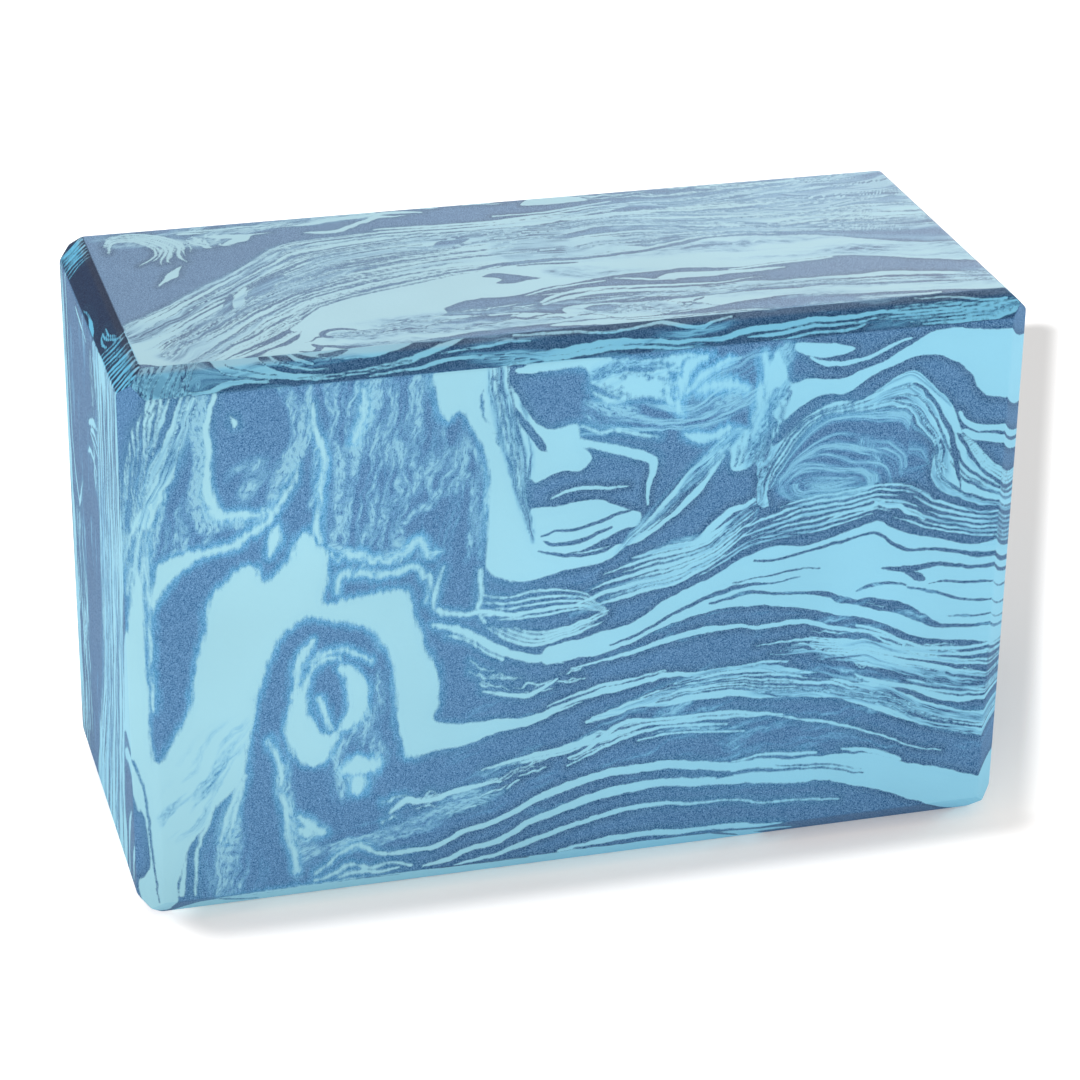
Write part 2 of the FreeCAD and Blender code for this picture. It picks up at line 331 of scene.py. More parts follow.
RIGHT_STRIPES = [
    # alternate thin streaks on the right between the streaky band and the dark band
    *fan(AQUA, ((160, 53), (175, 52.6), (188, 50.4), (208, 42), (224, 37)), ((150, 60), (168, 60.5),
        (182, 58.8), (206, 52.6), (224, 50.4)), (0.05, 0.55, 0.3, 1), (0.2, 0.6, 0.25, 1),
        (0.34, 0.5, 0.1, 0.75), (0.47, 0.65, 0.32, 1), (0.58, 0.35, 0.2, 0.6), (0.68, 0.6, 0.28, 1),
        (0.8, 0.45, 0.1, 0.8), (0.9, 0.55, 0.3, 1), (0.27, 0.4, 0.62, 1), (0.12, 0.4, 0.66, 1),
        (0.4, 0.35, 0.7, 1), (0.76, 0.35, 0.6, 1)),
    *fibres(AQUA, 51, 30, ((166, 54), (180, 52), (194, 47), (222, 37)), ((166, 61), (182, 60), (196, 56),
        (222, 51)), 0.16, 0.26, 0.05),
    vein(AQUA, (186, 47.6, 0.3), (195, 43.4, 0.7), (200, 41.8, 0.5), (212, 37.4, 0.9), (223, 36.2, 0.4)),
    *fan(AQUA, ((196, 41), (208, 37.6), (224, 34)), ((198, 45), (210, 42), (224, 40.6)),
        (0.2, 0.35, 0.2, 1), (0.5, 0.4, 0, 1), (0.8, 0.4, 0.1, 1)),
    # pale line under the stream
    vein(AQUA, (112, 58.6, 0.2), (140, 64, 0.9), (153, 65.2, 0.6), (159, 64.2, 0.5), (172, 63.8, 0.7),
        (192, 58.2, 0.4), (199, 55, 0.3)),
    vein(AQUA, (186, 61.6, 0.3), (193, 58.8, 0.4), (200, 55, 0.4), (208, 52.6, 0.5), (224, 51.4, 0.4)),
    vein(AQUA, (190, 58.4, 0.2), (196, 55, 0.4), (203, 52, 0.4), (211, 50.6, 0.4), (224, 49.8, 0.3)),
]

STREAM = [
    # the thick pale stream and its dark lines
    patch(AQUA, (104, 60.4), (112, 61.2), (120, 62.4), (142, 69.4), (157, 70.5), (185, 64.4), (200, 57.4),
        (208, 55.2), (216, 54.2), (226, 53.4), (226, 79.4), (215, 81), (208, 83), (194, 87.8), (189.5, 90),
        (178, 87), (170, 86), (163, 87.2), (158, 85.4), (146, 79.2), (140, 77.4), (134, 74.8), (128, 71.2),
        (121, 68.4), (112, 66.4), (104, 65)),
    vein(SLATE, (146, 72.4, 0.3), (156, 74.3, 0.5), (163, 73, 0.4), (171, 72.6, 0.4), (176, 71.8, 0.7),
        (181, 69.6, 0.9), (187, 67.8, 0.7), (205, 60, 0.6), (213, 58.6, 0.5), (224, 57.4, 0.45)),
    vein(SLATE, (186, 68.6, 0.5), (190, 68.3, 0.9), (199, 64.2, 1.1), (203, 61.6, 0.8), (208, 59.4, 0.4)),
    vein(SLATE, (120, 64, 0.2), (128, 66.6, 0.4), (142, 73, 0.5), (149, 75.2, 0.6), (156, 76.3, 0.5),
        (163, 76.2, 0.3), (170, 77, 0.15)),
    vein(SLATE, (152, 77, 0.1), (166, 79.2, 0.25), (175, 79, 0.15)),
    vein(SLATE, (158, 83, 0.3), (166, 83.3, 0.4), (182, 85.8, 0.4), (188, 86.9, 0.4), (192, 85.6, 0.4),
        (196, 83, 0.5), (202, 81.4, 0.4), (216, 78.4, 0.6), (226, 77.6, 0.7)),
    vein(SLATE, (192, 77, 0.2), (197, 76.5, 0.9), (202, 76, 0.9), (208, 75.9, 0.6), (215, 75.2, 0.5),
        (226, 74.6, 0.5)),
    vein(SLATE, (198, 75.6, 0.6), (201, 73.6, 1.1), (203.5, 72.4, 0.6)),
    vein(SLATE, (185, 71.6, 0.2), (189.5, 73, 0.5), (194, 72.8, 0.4), (198, 71.6, 0.2)),
    vein(SLATE, (198.6, 71, 0.3), (209, 67.4, 0.4), (216, 65.6, 0.35), (226, 64.2, 0.3)),
    vein(SLATE, (205, 70.6, 0.1), (212, 70.9, 0.4), (226, 70, 0.3)),
    vein(SLATE, (210, 61.6, 0.15), (217, 60.8, 0.3), (226, 60.4, 0.2)),
]

STRIPED_ZONE = [
    # fine dark and pale stripes over the stream
    *fan(AQUA, ((142, 78.6), (152, 83.4), (160, 88), (170, 88), (180, 88.8), (189, 91.4), (198, 87.8),
        (208, 84.6), (226, 81)), ((150, 92), (162, 98), (172, 99), (182, 100.4), (191, 101), (199, 98.8),
        (210, 94), (226, 89)), (0.13, 0.35, 0, 0.55), (0.26, 0.4, 0.05, 0.6), (0.40, 0.3, 0.15, 0.6),
        (0.53, 0.4, 0.08, 0.7), (0.66, 0.4, 0.2, 0.6), (0.8, 0.4, 0.05, 0.65), (0.93, 0.35, 0.2, 0.7),
        (0.12, 0.3, 0.62, 1), (0.26, 0.35, 0.7, 1), (0.4, 0.4, 0.6, 1), (0.56, 0.4, 0.72, 1),
        (0.72, 0.4, 0.65, 1), (0.88, 0.4, 0.62, 1)),
    vein(AQUA, (189, 95.4, 0.3), (192, 94.2, 0.7), (195.5, 93.6, 0.7), (198, 91.4, 0.5), (203, 89.6, 0.3)),
    vein(AQUA, (176, 91.6, 0.2), (182, 93.6, 0.5), (187, 94.2, 0.6), (191, 95.3, 0.5)),
    # streams rising to the right from the middle
    *fan(AQUA, ((110, 73), (130, 78.4), (140, 80), (150, 85), (158, 92)), ((112, 84), (122, 88),
        (141, 91.4), (149, 95), (157, 100.4)), (0.05, 0.6, 0.1, 0.8), (0.16, 0.4, 0.2, 1),
        (0.28, 0.7, 0, 0.9), (0.4, 0.4, 0.3, 1), (0.5, 0.55, 0.1, 0.9), (0.62, 0.35, 0.25, 1),
        (0.74, 0.5, 0.15, 1), (0.86, 0.7, 0.3, 1)),
]

ARCH_OUTER = ((160.4, 116.6), (165, 119.4), (169.6, 123.6), (175.6, 126.3), (181.6, 125.6), (186.6, 127.8),
    (190.6, 131.2), (196, 133.4), (203, 132.8), (208, 131.2), (211, 127), (214.4, 122.4), (218, 121.2),
    (228, 120.6))
ARCH_INNER = ((160.6, 114.4), (165.6, 117.6), (171, 121.9), (177, 124.7), (183.4, 124.2), (189, 127),
    (193.4, 129.9), (197.4, 130.2), (200.6, 127.6), (205, 124), (209.6, 119), (212.6, 115.6), (217, 114.6),
    (228, 114.4))
SHELL_LOW = ((161, 98.4), (160, 103.4), (163, 109), (171, 118), (176, 121), (183, 120.4), (190, 120.7),
    (195, 120.4), (198, 118.2), (199.6, 115), (203.4, 110), (203, 104), (203.6, 99.6), (210, 95.4),
    (228, 89))
SHELL_HIGH = ((157.6, 99), (157.6, 106), *ARCH_INNER[:8], (202, 126), (207.6, 121), (210, 115.6),
    (211.6, 110), (215, 103.6), (228, 94))
HEART_LOW = ((164, 104.6), (168, 108.4), (175, 108.8), (183, 107.4), (190, 105), (193, 99), (198, 99.6),
    (202, 104))
LENS_RIM = ((189.6, 101), (188.4, 104), (183, 106.6), (169, 108.2), (163.6, 106.6), (161, 103.4),
    (163, 100.4), (168, 97.6), (175, 97), (182, 97.4), (187.6, 98.4), (189.6, 101))
LENS_SPINE = ((170, 102), (176, 102.2), (183, 102))

EYE = [
    # the concentric eye: pale shell, dark arch, and dark lines in the shell
    strip(AQUA, SHELL_LOW, SHELL_HIGH),
    strip(SLATE, ARCH_OUTER, ARCH_INNER),
    *fan(SLATE, SHELL_LOW, SHELL_HIGH, (0.05, 0.4, 0, 0.5), (0.3, 0.35, 0.05, 0.5), (0.62, 0.4, 0, 0.42),
        (0.85, 0.3, 0.1, 0.45), (0.3, 0.5, 0.46, 0.75), (0.55, 0.35, 0.48, 0.9), (0.75, 0.5, 0.5, 0.72),
        (0.15, 0.4, 0.6, 1), (0.45, 0.4, 0.75, 1), (0.7, 0.4, 0.7, 1)),
    vein(SLATE, (205, 119, 0.4), (207.4, 115, 0.6), (209.6, 105, 0.9), (211.6, 97, 0.1)),
    # right flank: dark wedge with thin pale lines
    patch(SLATE, (209.4, 112.6), (212.4, 107.6), (216, 102.4), (220, 98.4), (228, 93.6), (228, 103),
        (224.6, 104.4), (222, 107.6), (218.4, 109), (215.4, 107.6), (212.6, 110.6)),
    *fan(AQUA, ((211, 112), (218.6, 101.2), (228, 94.6)), ((213, 111), (221, 102), (228, 99)),
        (0, 0.35, 0, 1), (0.35, 0.35, 0, 1), (0.7, 0.4, 0, 1), (1, 0.3, 0.1, 1)),
    vein(AQUA, (210, 118.6, 0.4), (212.6, 115, 0.8), (217, 113.4, 0.9), (228, 112.8, 0.8)),
    vein(AQUA, (211.6, 113, 0.6), (215, 111, 1.2), (220, 110.2, 1.2), (228, 109.4, 1.2)),
]

UPPER_RIGHT = [
    # the pale sweep over the arch and the big pale patch at the upper right
    patch(AQUA, (157, 118), (160.6, 119), (169.6, 125.4), (175, 127), (180, 127.2), (190.4, 132.4),
        (202, 134.6), (208, 132.6), (211.6, 128.8), (213.6, 124.6), (216, 122), (221, 121.2), (229, 120.6),
        (229, 139.6), (222, 139.4), (206, 141.2), (200, 140), (194, 136.8), (181, 131.2), (175, 130.6),
        (169.6, 131.4), (165.4, 130.6), (163, 135), (161, 139.4), (158.6, 136), (158.4, 128), (156.4, 122)),
    vein(AQUA, (170, 137, 0.3), (174, 135, 0.6), (179, 134.2, 0.6), (184, 135.3, 0.5), (190, 137.8, 0.45),
        (196, 139.6, 0.3)),
    patch(AQUA, (166, 141.4), (172, 141), (178, 139.6), (181.6, 138), (178, 136.6), (173, 136.6),
        (166.4, 139)),
    # loose fibres where the sweep meets the middle
    *fibres(AQUA, 82, 20, ((156, 103), (157, 113), (158, 124)), ((160.4, 103), (161, 113), (164, 126)), 0.4,
        0.35, 0.06),
    *fibres(SLATE, 83, 18, ((156.4, 103), (157, 113), (158, 128)), ((160, 103), (161.6, 113), (166, 132)),
        0.3, 0.3, 0.06),
]

UPPER_MIDDLE = [
    # pale column dropping from the top edge
    patch(AQUA, (75.6, 143), (75.8, 137), (76.6, 132.6), (78.4, 129.4), (80.4, 131.6), (82.4, 131),
        (84.6, 127.4), (87, 123), (88.6, 118), (89, 110), (88.2, 102), (88, 94), (88.6, 87.6), (93, 85.4),
        (100, 85.2), (108, 86.4), (116, 87), (121, 88.6), (124, 91.4), (118, 91.4), (110, 90.6),
        (103, 91.6), (100, 95), (98.6, 106), (99, 112), (101, 110.6), (104.4, 112.6), (108, 113.6),
        (112, 113.2), (115, 116), (112, 120.6), (110.6, 125.4), (106.4, 124.6), (102.6, 125.4), (99, 129),
        (94, 138), (91.6, 143)),
    # thin dark lines down the column
    *fan(SLATE, ((88.6, 143), (90.4, 132), (94.6, 112), (97.6, 104), (98.6, 98)), ((93, 143), (95.6, 132),
        (98.4, 113), (99.4, 99)), (0.1, 0.3, 0, 0.95), (0.35, 0.35, 0, 1), (0.6, 0.3, 0.05, 0.8),
        (0.9, 0.35, 0, 1)),
    *fibres(SLATE, 91, 12, ((87, 142), (88, 130), (91, 120)), ((95, 142), (97, 130), (98, 120)), 0.3, 0.22,
        0.05),
    # slate patch with its tail
    vein(SLATE, (95.6, 131, 0.4), (97.4, 127.6, 0.8), (101.4, 121.6, 1.1), (103, 119.6, 0.5)),
    # pale splash right of the patch
    patch(AQUA, (95, 141), (98, 139.6), (110, 139.9), (113.6, 138), (114, 134), (117, 131), (120, 130),
        (126, 130.6), (131, 130), (134, 128.4), (136.6, 125.6), (136.4, 129), (140, 136.6), (144, 139.6),
        (138, 140.6), (130, 140.2), (122, 141), (112, 142.6), (102, 142.4)),
    vein(SLATE, (112.4, 136, 0.4), (115, 134.4, 0.9), (121, 131, 0.4)),
    vein(SLATE, (121, 138.6, 0.3), (124, 138, 0.8), (127.6, 137.4, 0.8), (131, 137.6, 0.5),
        (134, 138.4, 0.3)),
    *fibres(SLATE, 92, 16, ((113, 131), (122, 131), (136, 129)), ((113, 139), (124, 140), (140, 139)), 0.2,
        0.28, 0.06),
    # broken fibrous slate in the upper middle
    vein(AQUA, (138, 131, 0.3), (142, 134, 0.8), (149, 138.6, 0.4)),
    vein(AQUA, (141, 131, 0.3), (146, 132, 1), (151, 131.6, 0.9), (154, 130, 0.4)),
    vein(AQUA, (157.6, 139, 0.6), (158.4, 133, 0.8), (156.6, 121, 0.6), (157.4, 114, 0.5)),
    vein(AQUA, (112, 124.6, 0.2), (117, 122.2, 0.4), (122, 122.6, 0.4), (131, 120, 0.3)),
    # pale stream that turns down beside the middle
    vein(AQUA, (104, 120, 1), (109, 121.2, 1.2), (114, 119.8, 1), (124, 116.7, 1.2), (128, 115.2, 1.3),
        (130.6, 112.4, 1), (129.2, 104.6, 0.5), (129.4, 101.6, 0.3)),
    vein(AQUA, (138, 119.6, 0.5), (141.6, 118.6, 1.2), (145.6, 118.8, 1.2), (149.6, 120.4, 0.7)),
    # slanting pale streams
    patch(AQUA, (122.4, 90.8), (127, 95), (136.4, 105.6), (140.6, 111), (145, 115.2), (150.4, 119.2),
        (152.6, 119), (149.4, 114.8), (145, 107.4), (141, 102), (131.4, 94), (127, 91.4)),
    *fan(SLATE, ((124, 91.8), (132, 98.8), (144, 112), (151, 118.4)), ((127, 92.2), (134.6, 98.2),
        (145.6, 109.6), (151.6, 117.6)), (0.15, 0.35, 0.05, 0.9), (0.4, 0.45, 0.1, 0.95),
        (0.68, 0.4, 0.2, 1), (0.9, 0.3, 0.1, 0.7)),
    patch(AQUA, (150, 118.6), (153, 119.6), (156.4, 118.4), (157, 113.6), (155.4, 109.6), (151, 109),
        (150.2, 112.6)),
    *fibres(SLATE, 95, 8, ((151, 110), (152, 118)), ((156, 110), (156.4, 118)), 0.5, 0.22, 0.05),
    # pale loops in the slate under them
    vein(AQUA, (141.6, 90.6, 0.4), (144.4, 92.6, 1), (150.6, 97.8, 1), (153.6, 98.6, 0.8),
        (156.4, 100.2, 0.5)),
]

MIDDLE = [
    # pale pool and dark lines in the middle of the face
    patch(AQUA, (99, 103.4), (104, 104), (110, 104.4), (117, 103.8), (121, 102), (125, 101), (128, 99.4),
        (127, 96.4), (123, 95.6), (113, 91.6), (106, 90.6), (101, 92), (98.6, 97)),
    vein(SLATE, (102, 96.8, 0.3), (107, 97.8, 0.4), (113, 97.3, 0.45), (118, 98.4, 0.5), (122, 100, 0.4),
        (126, 101, 0.3)),
    vein(SLATE, (102.6, 95, 0.3), (105, 93.8, 0.6), (110, 93.6, 0.6), (115, 94.6, 0.5), (120, 96.4, 0.3)),
    vein(SLATE, (101, 92.6, 0.2), (106, 90.6, 0.5), (112, 89.9, 0.5), (118, 90.8, 0.5), (123, 92.6, 0.3)),
    vein(AQUA, (104.6, 106, 0.2), (109, 107.8, 0.4), (114, 107.6, 0.5), (119, 106.6, 0.4), (124, 107, 0.2)),
    # concentric dark loops and pale threads below the pool
    *fan(AQUA, ((86, 84), (93, 82.2), (100, 83.6), (108, 83), (114, 80.4), (119, 75)), ((88, 74), (100, 74),
        (113, 74.4), (119, 72)), (0.15, 0.35, 0, 0.9), (0.36, 0.4, 0, 1), (0.55, 0.4, 0.1, 1),
        (0.78, 0.6, 0, 1), (0.95, 0.4, 0.1, 0.9)),
    vein(AQUA, (76, 79.4, 0.5), (79, 78, 0.7), (83, 77, 0.7), (87, 77.6, 0.7), (91, 76.4, 0.8),
        (96, 75.6, 0.6), (100, 76, 0.3)),
    vein(AQUA, (75, 75.4, 0.3), (79, 73.4, 0.8), (97, 64, 1.1), (102, 62.6, 1.1), (107, 62.4, 0.8),
        (112, 62.8, 0.6)),
    vein(AQUA, (78, 71.4, 0.2), (83, 69.4, 0.3), (93, 63.8, 0.3)),
    *fan(AQUA, ((88, 72.4), (94, 68.4), (101, 66), (110, 67.4), (118, 70)), ((94, 73), (99, 70.6),
        (105, 69.6), (112, 71), (120, 74)), (0.1, 0.5, 0, 1), (0.36, 0.4, 0, 0.9), (0.62, 0.5, 0.05, 1),
        (0.9, 0.4, 0.1, 1)),
    vein(AQUA, (88, 55.4, 0.2), (97, 53.2, 0.7), (102, 54, 0.6), (107, 56, 0.3)),
    vein(AQUA, (86.4, 88.6, 0.5), (86.8, 82, 0.6), (86.2, 78, 0.5), (88, 74, 0.3)),
    *fibres(AQUA, 99, 14, ((78, 68), (92, 62), (112, 60)), ((80, 58), (94, 54), (114, 55)), 0.2, 0.22,
        0.05),
]

FRONT = (LEFT_SPLASH + RING + LEFT_STREAMS + CORNER_LINES + FIBROUS_FIELD + LOWER_FIELD + LOWER_BANDS
    + STREAKED_BAND + RIGHT_STRIPES + STREAM + STRIPED_ZONE + UPPER_RIGHT + EYE + UPPER_MIDDLE + MIDDLE)

# places on the top are (along the length, from the front plane)
SWEEP_LOW = ((18, 3), (26, 11), (34, 20), (43, 29), (54, 37.5), (66, 43), (80, 47.5), (96, 51), (122, 52))
SWEEP_HIGH = ((4, 29), (24, 48), (34, 57), (44, 67), (53, 76), (64, 79.6), (84, 81), (122, 80))

TOP_LEFT = [
    # the sweep of thin streaks from the near corner to the middle
    patch(AQUA, (3, 12), (10, 6), *SWEEP_LOW, (144, 55), (126, 58.6), (140, 62), (120, 66), (134, 70.6),
        (116, 74), (128, 78.6), (104, 80.6), (84, 81), (64, 79.6), (53, 76), (44, 67), (34, 57), (14, 38.6),
        (4, 29)),
    *fibres(SLATE, 201, 74, SWEEP_LOW, SWEEP_HIGH, 0.34, 0.3, 0.006),
    *fibres(SLATE, 202, 24, SWEEP_LOW, SWEEP_HIGH, 0.6, 0.36, 0.006),
    *fan(SLATE, SWEEP_LOW, SWEEP_HIGH, (0.05, 0.5, 0.3, 0.75), (0.2, 0.5, 0.1, 0.6), (0.32, 0.4, 0, 0.5),
        (0.42, 0.5, 0.28, 0.8), (0.6, 0.45, 0.35, 0.75), (0.78, 0.45, 0.3, 0.8), (0.94, 0.5, 0.4, 1)),
    # dark lenses caught in the sweep
    patch(SLATE, (39.6, 46), (42, 50), (45.6, 54), (50, 56.6), (49.6, 53), (47, 50), (45.4, 46.4),
        (42, 44.4)),
    vein(SLATE, (31.6, 32, 0.5), (33, 37, 1.3), (34.6, 42.6, 1.2), (36, 47.6, 0.4)),
    vein(AQUA, (35, 35, 0.4), (36.6, 41, 1.4), (38, 46.6, 1.2), (40, 50, 0.4)),
    patch(SLATE, (91.6, 66), (93.4, 69.6), (97, 71), (102, 70), (96, 65.4)),
    # slate corner patch with its swirl and star
    *fan(AQUA, ((10, 81), (12, 86.6), (16, 88), (20, 85.6), (21.6, 80), (20, 74), (16, 70)), ((8, 82),
        (11, 91), (18, 93.6), (27, 89), (30, 82), (28.6, 76), (31.6, 71)), (0.06, 0.35, 0, 1),
        (0.22, 0.4, 0.05, 0.9), (0.4, 0.5, 0.2, 1), (0.55, 0.5, 0.3, 1), (0.68, 0.35, 0.1, 0.8),
        (0.82, 0.6, 0.35, 1), (0.97, 0.5, 0.2, 0.9)),
    *fibres(AQUA, 203, 16, ((10, 81), (13, 87), (18, 88.6), (22, 82), (19, 71)), ((9, 84), (13, 92),
        (22, 93), (30, 84), (30, 71)), 0.3, 0.25, 0.03),
    vein(AQUA, (20, 56, 0.2), (22, 59.4, 0.6), (24.3, 63, 1.3), (26.8, 68.2, 0.2)),
    *fibres(AQUA, 204, 14, ((31, 90), (33, 83), (37, 79)), ((40, 90), (41, 84), (43, 80)), 0.5, 0.4, 0.05),
    # streaks along the back edge
    patch(AQUA, (30, 90), (40, 90.6), (56, 89.6), (64, 89.2), (70, 90.4), (77, 91.6), (83, 95), (80, 96.4),
        (72, 94), (64, 92.4), (54, 92.2), (44, 93), (34, 93)),
    *fibres(SLATE, 205, 18, ((30, 90), (56, 89.4), (82, 94)), ((30, 94), (54, 95), (78, 97)), 0.3, 0.3,
        0.03),
    patch(AQUA, (37, 88), (42, 88), (47, 86.6), (54, 86.4), (48, 85.4), (46, 82.6), (40, 80.4),
        (40.6, 82.6), (42.6, 84.6), (39, 86)),
    vein(AQUA, (62, 84.4, 0.3), (66, 83.8, 0.8), (70.6, 84, 0.9), (74.6, 86.4, 0.8), (78.6, 89.6, 0.9),
        (82.4, 91.8, 0.9), (86.6, 90.4, 0.4), (90, 90.6, 0.2)),
    vein(AQUA, (80, 92, 0.4), (84, 94, 1.1), (89, 93, 1), (94, 92, 0.4)),
    *fibres(AQUA, 206, 18, ((56, 94), (80, 96), (118, 94)), ((56, 96.6), (80, 97), (118, 97)), 0.25, 0.35,
        0.1),
    vein(AQUA, (80, 82.6, 0.4), (92, 82.2, 0.7), (120, 81.6, 0.5)),
]

NOOK_LOW = ((21, 1), (28, 3.6), (36, 7.6), (42, 12), (46, 17))
NOOK_HIGH = ((18, 3), (26, 11), (34, 20), (43, 28), (50, 31))

TOP_FRONT_EDGE = [
    # pale pool that spills over the front chamfer, with dark loops in it
    patch(AQUA, (21, 2), (25, 9), (31, 15), (38, 20), (44, 24.6), (48, 22), (56, 20.6), (82, 20.6),
        (92, 19), (102, 17.6), (112, 14.6), (122, 12), (122, 9.6), (106, 9.4), (92, 9.6), (84, 8.6),
        (52, 2), (36, -1)),
    *fibres(SLATE, 211, 22, ((46, 12), (62, 12), (82, 13), (118, 13)), ((46, 19), (84, 19), (118, 18)),
        0.16, 0.4, 0.08),
    vein(SLATE, (44, 7, 0.3), (47, 6, 0.8), (49, 8, 0.9), (47.6, 10.6, 0.5)),
    vein(SLATE, (50, 8.6, 0.5), (55, 6.6, 0.9), (60, 7, 0.8), (66, 7.6, 0.4)),
    vein(SLATE, (60, 17, 0.4), (57, 18, 0.7), (52.4, 17, 0.9), (51.6, 14.4, 0.8), (55, 13, 0.7),
        (60, 13.6, 0.6), (64, 15, 0.3)),
    patch(SLATE, (76, 11.6), (78, 15.6), (82, 16.6), (88, 18), (95, 17.6), (99, 16.6), (93, 13.6),
        (80, 11)),
    *fibres(AQUA, 212, 8, ((84, 21), (106, 20)), ((86, 24), (106, 23)), 0.3, 0.25, 0.1),
    patch(AQUA, (106, 8), (118, 9.8), (142, 8.2), (154, 8), (162, 6.6), (152, 5.6), (136, 6.4), (120, 6)),
    *fibres(SLATE, 213, 12, ((108, 6), (130, 6.4), (160, 6)), ((108, 10), (130, 10), (160, 8)), 0.3, 0.3,
        0.05),
    # thin lines between the sweep, the front edge and the lens
    strip(SLATE, NOOK_LOW, NOOK_HIGH),
    *fibres(AQUA, 231, 34, NOOK_LOW, NOOK_HIGH, 0.6, 0.4, 0.01),
    *fibres(AQUA, 232, 36, ((45, 21), (50, 29), (58, 35), (66, 39), (85, 44.4), (105, 49.6)),
        SWEEP_LOW[2:8], 0.35, 0.34, 0.01),
]

TOP_LENS = [
    # the great pale lens along the middle
    patch(AQUA, (45, 20), (48, 25), (52, 30), (58, 34.4), (66, 38.4), (85, 43.6), (105, 49), (135, 50),
        (150, 53), (165, 56), (180, 54), (190, 52), (200, 46.6), (210, 42), (226, 38), (226, 25.6),
        (210, 30), (200, 34), (190, 36.6), (176, 36), (162, 35.2), (150, 37.6), (140, 36.6), (127, 36.6),
        (118, 34.4), (112, 33.2), (104, 29.6), (92, 29.4), (84.6, 26), (84, 22), (78, 20.4), (62, 20)),
    patch(SLATE, (98, 44), (101, 45.6), (105, 44), (109, 41.2), (112.6, 39.8), (108.6, 39), (103.6, 37.6),
        (100.6, 38.4), (102.4, 40.6), (100, 43)),
    vein(SLATE, (109, 48.6, 0.4), (120, 47.8, 0.6), (124, 47.6, 0.2)),
    vein(SLATE, (152, 51, 0.3), (157, 51.6, 0.7), (166, 50.8, 0.4)),
    vein(AQUA, (130, 35.2, 0.3), (135, 33, 0.6), (139, 31.6, 0.5), (144, 30.6, 0.3)),
    patch(AQUA, (140, 32), (143, 34.4), (148, 34.8), (158, 33.6), (174, 32.6), (165, 31.2), (152, 31.2),
        (144, 31)),
    vein(AQUA, (160, 34, 0.4), (180, 35.6, 0.6), (188, 36, 0.4)),
    # lines nearer the front
    vein(AQUA, (108, 23.6, 0.5), (114, 27.4, 0.7), (121, 29.4, 0.8), (128, 29.2, 0.8), (136, 27.8, 0.7),
        (156, 26.6, 0.4), (166, 27.4, 0.15)),
    vein(AQUA, (108, 22, 0.5), (114, 24.6, 0.8), (122, 26.4, 0.9), (130, 26, 0.9), (150, 23.4, 0.8),
        (162, 23.4, 0.9), (174, 23.2, 0.8), (196, 22.6, 1.1), (206, 20.8, 1), (226, 15.6, 0.8)),
    vein(AQUA, (118, 21, 0.3), (132, 22, 0.5), (146, 21.6, 0.6), (176, 20.4, 0.6), (200, 17, 0.7),
        (212, 15.4, 0.8), (226, 13, 0.7)),
    vein(AQUA, (106, 28.6, 0.3), (112, 31.6, 0.5), (120, 33.6, 0.5), (127, 34.4, 0.4)),
    *fibres(AQUA, 222, 20, ((108, 20), (140, 20), (190, 18), (224, 12)), ((108, 30), (140, 28), (168, 25),
        (200, 22), (224, 16)), 0.3, 0.25, 0.03),
    patch(AQUA, (116, 10.6), (128, 9.6), (140, 10), (160, 13.6), (170, 14), (180, 12), (210, 8.4), (226, 6),
        (226, 11), (210, 13.6), (196, 15.4), (182, 17.6), (150, 18.8), (138, 18.2), (130, 18.6), (122, 20),
        (112, 19), (112, 14)),
    patch(SLATE, (117, 17), (119.6, 19), (124, 18.8), (126, 17), (123, 14.8), (119.6, 15)),
    *fibres(SLATE, 223, 18, ((114, 12), (134, 12), (150, 13)), ((114, 19), (132, 19), (150, 18)), 0.25,
        0.35, 0.08),
    vein(AQUA, (186, 8, 0.3), (192, 7.6, 0.7), (206, 7, 0.5)),
]

FAR_LOW = ((108, 50), (124, 49.6), (140, 50.6), (152, 54), (166, 57), (180, 55), (196, 50), (210, 44),
    (226, 40))
FAR_MID = ((108, 66), (125, 69), (138, 70.4), (152, 67.6), (164, 63.6), (182, 60), (202, 58.6), (226, 58))
FAR_HIGH = ((108, 82), (126, 84), (144, 88), (160, 87), (180, 90), (200, 93), (226, 96))

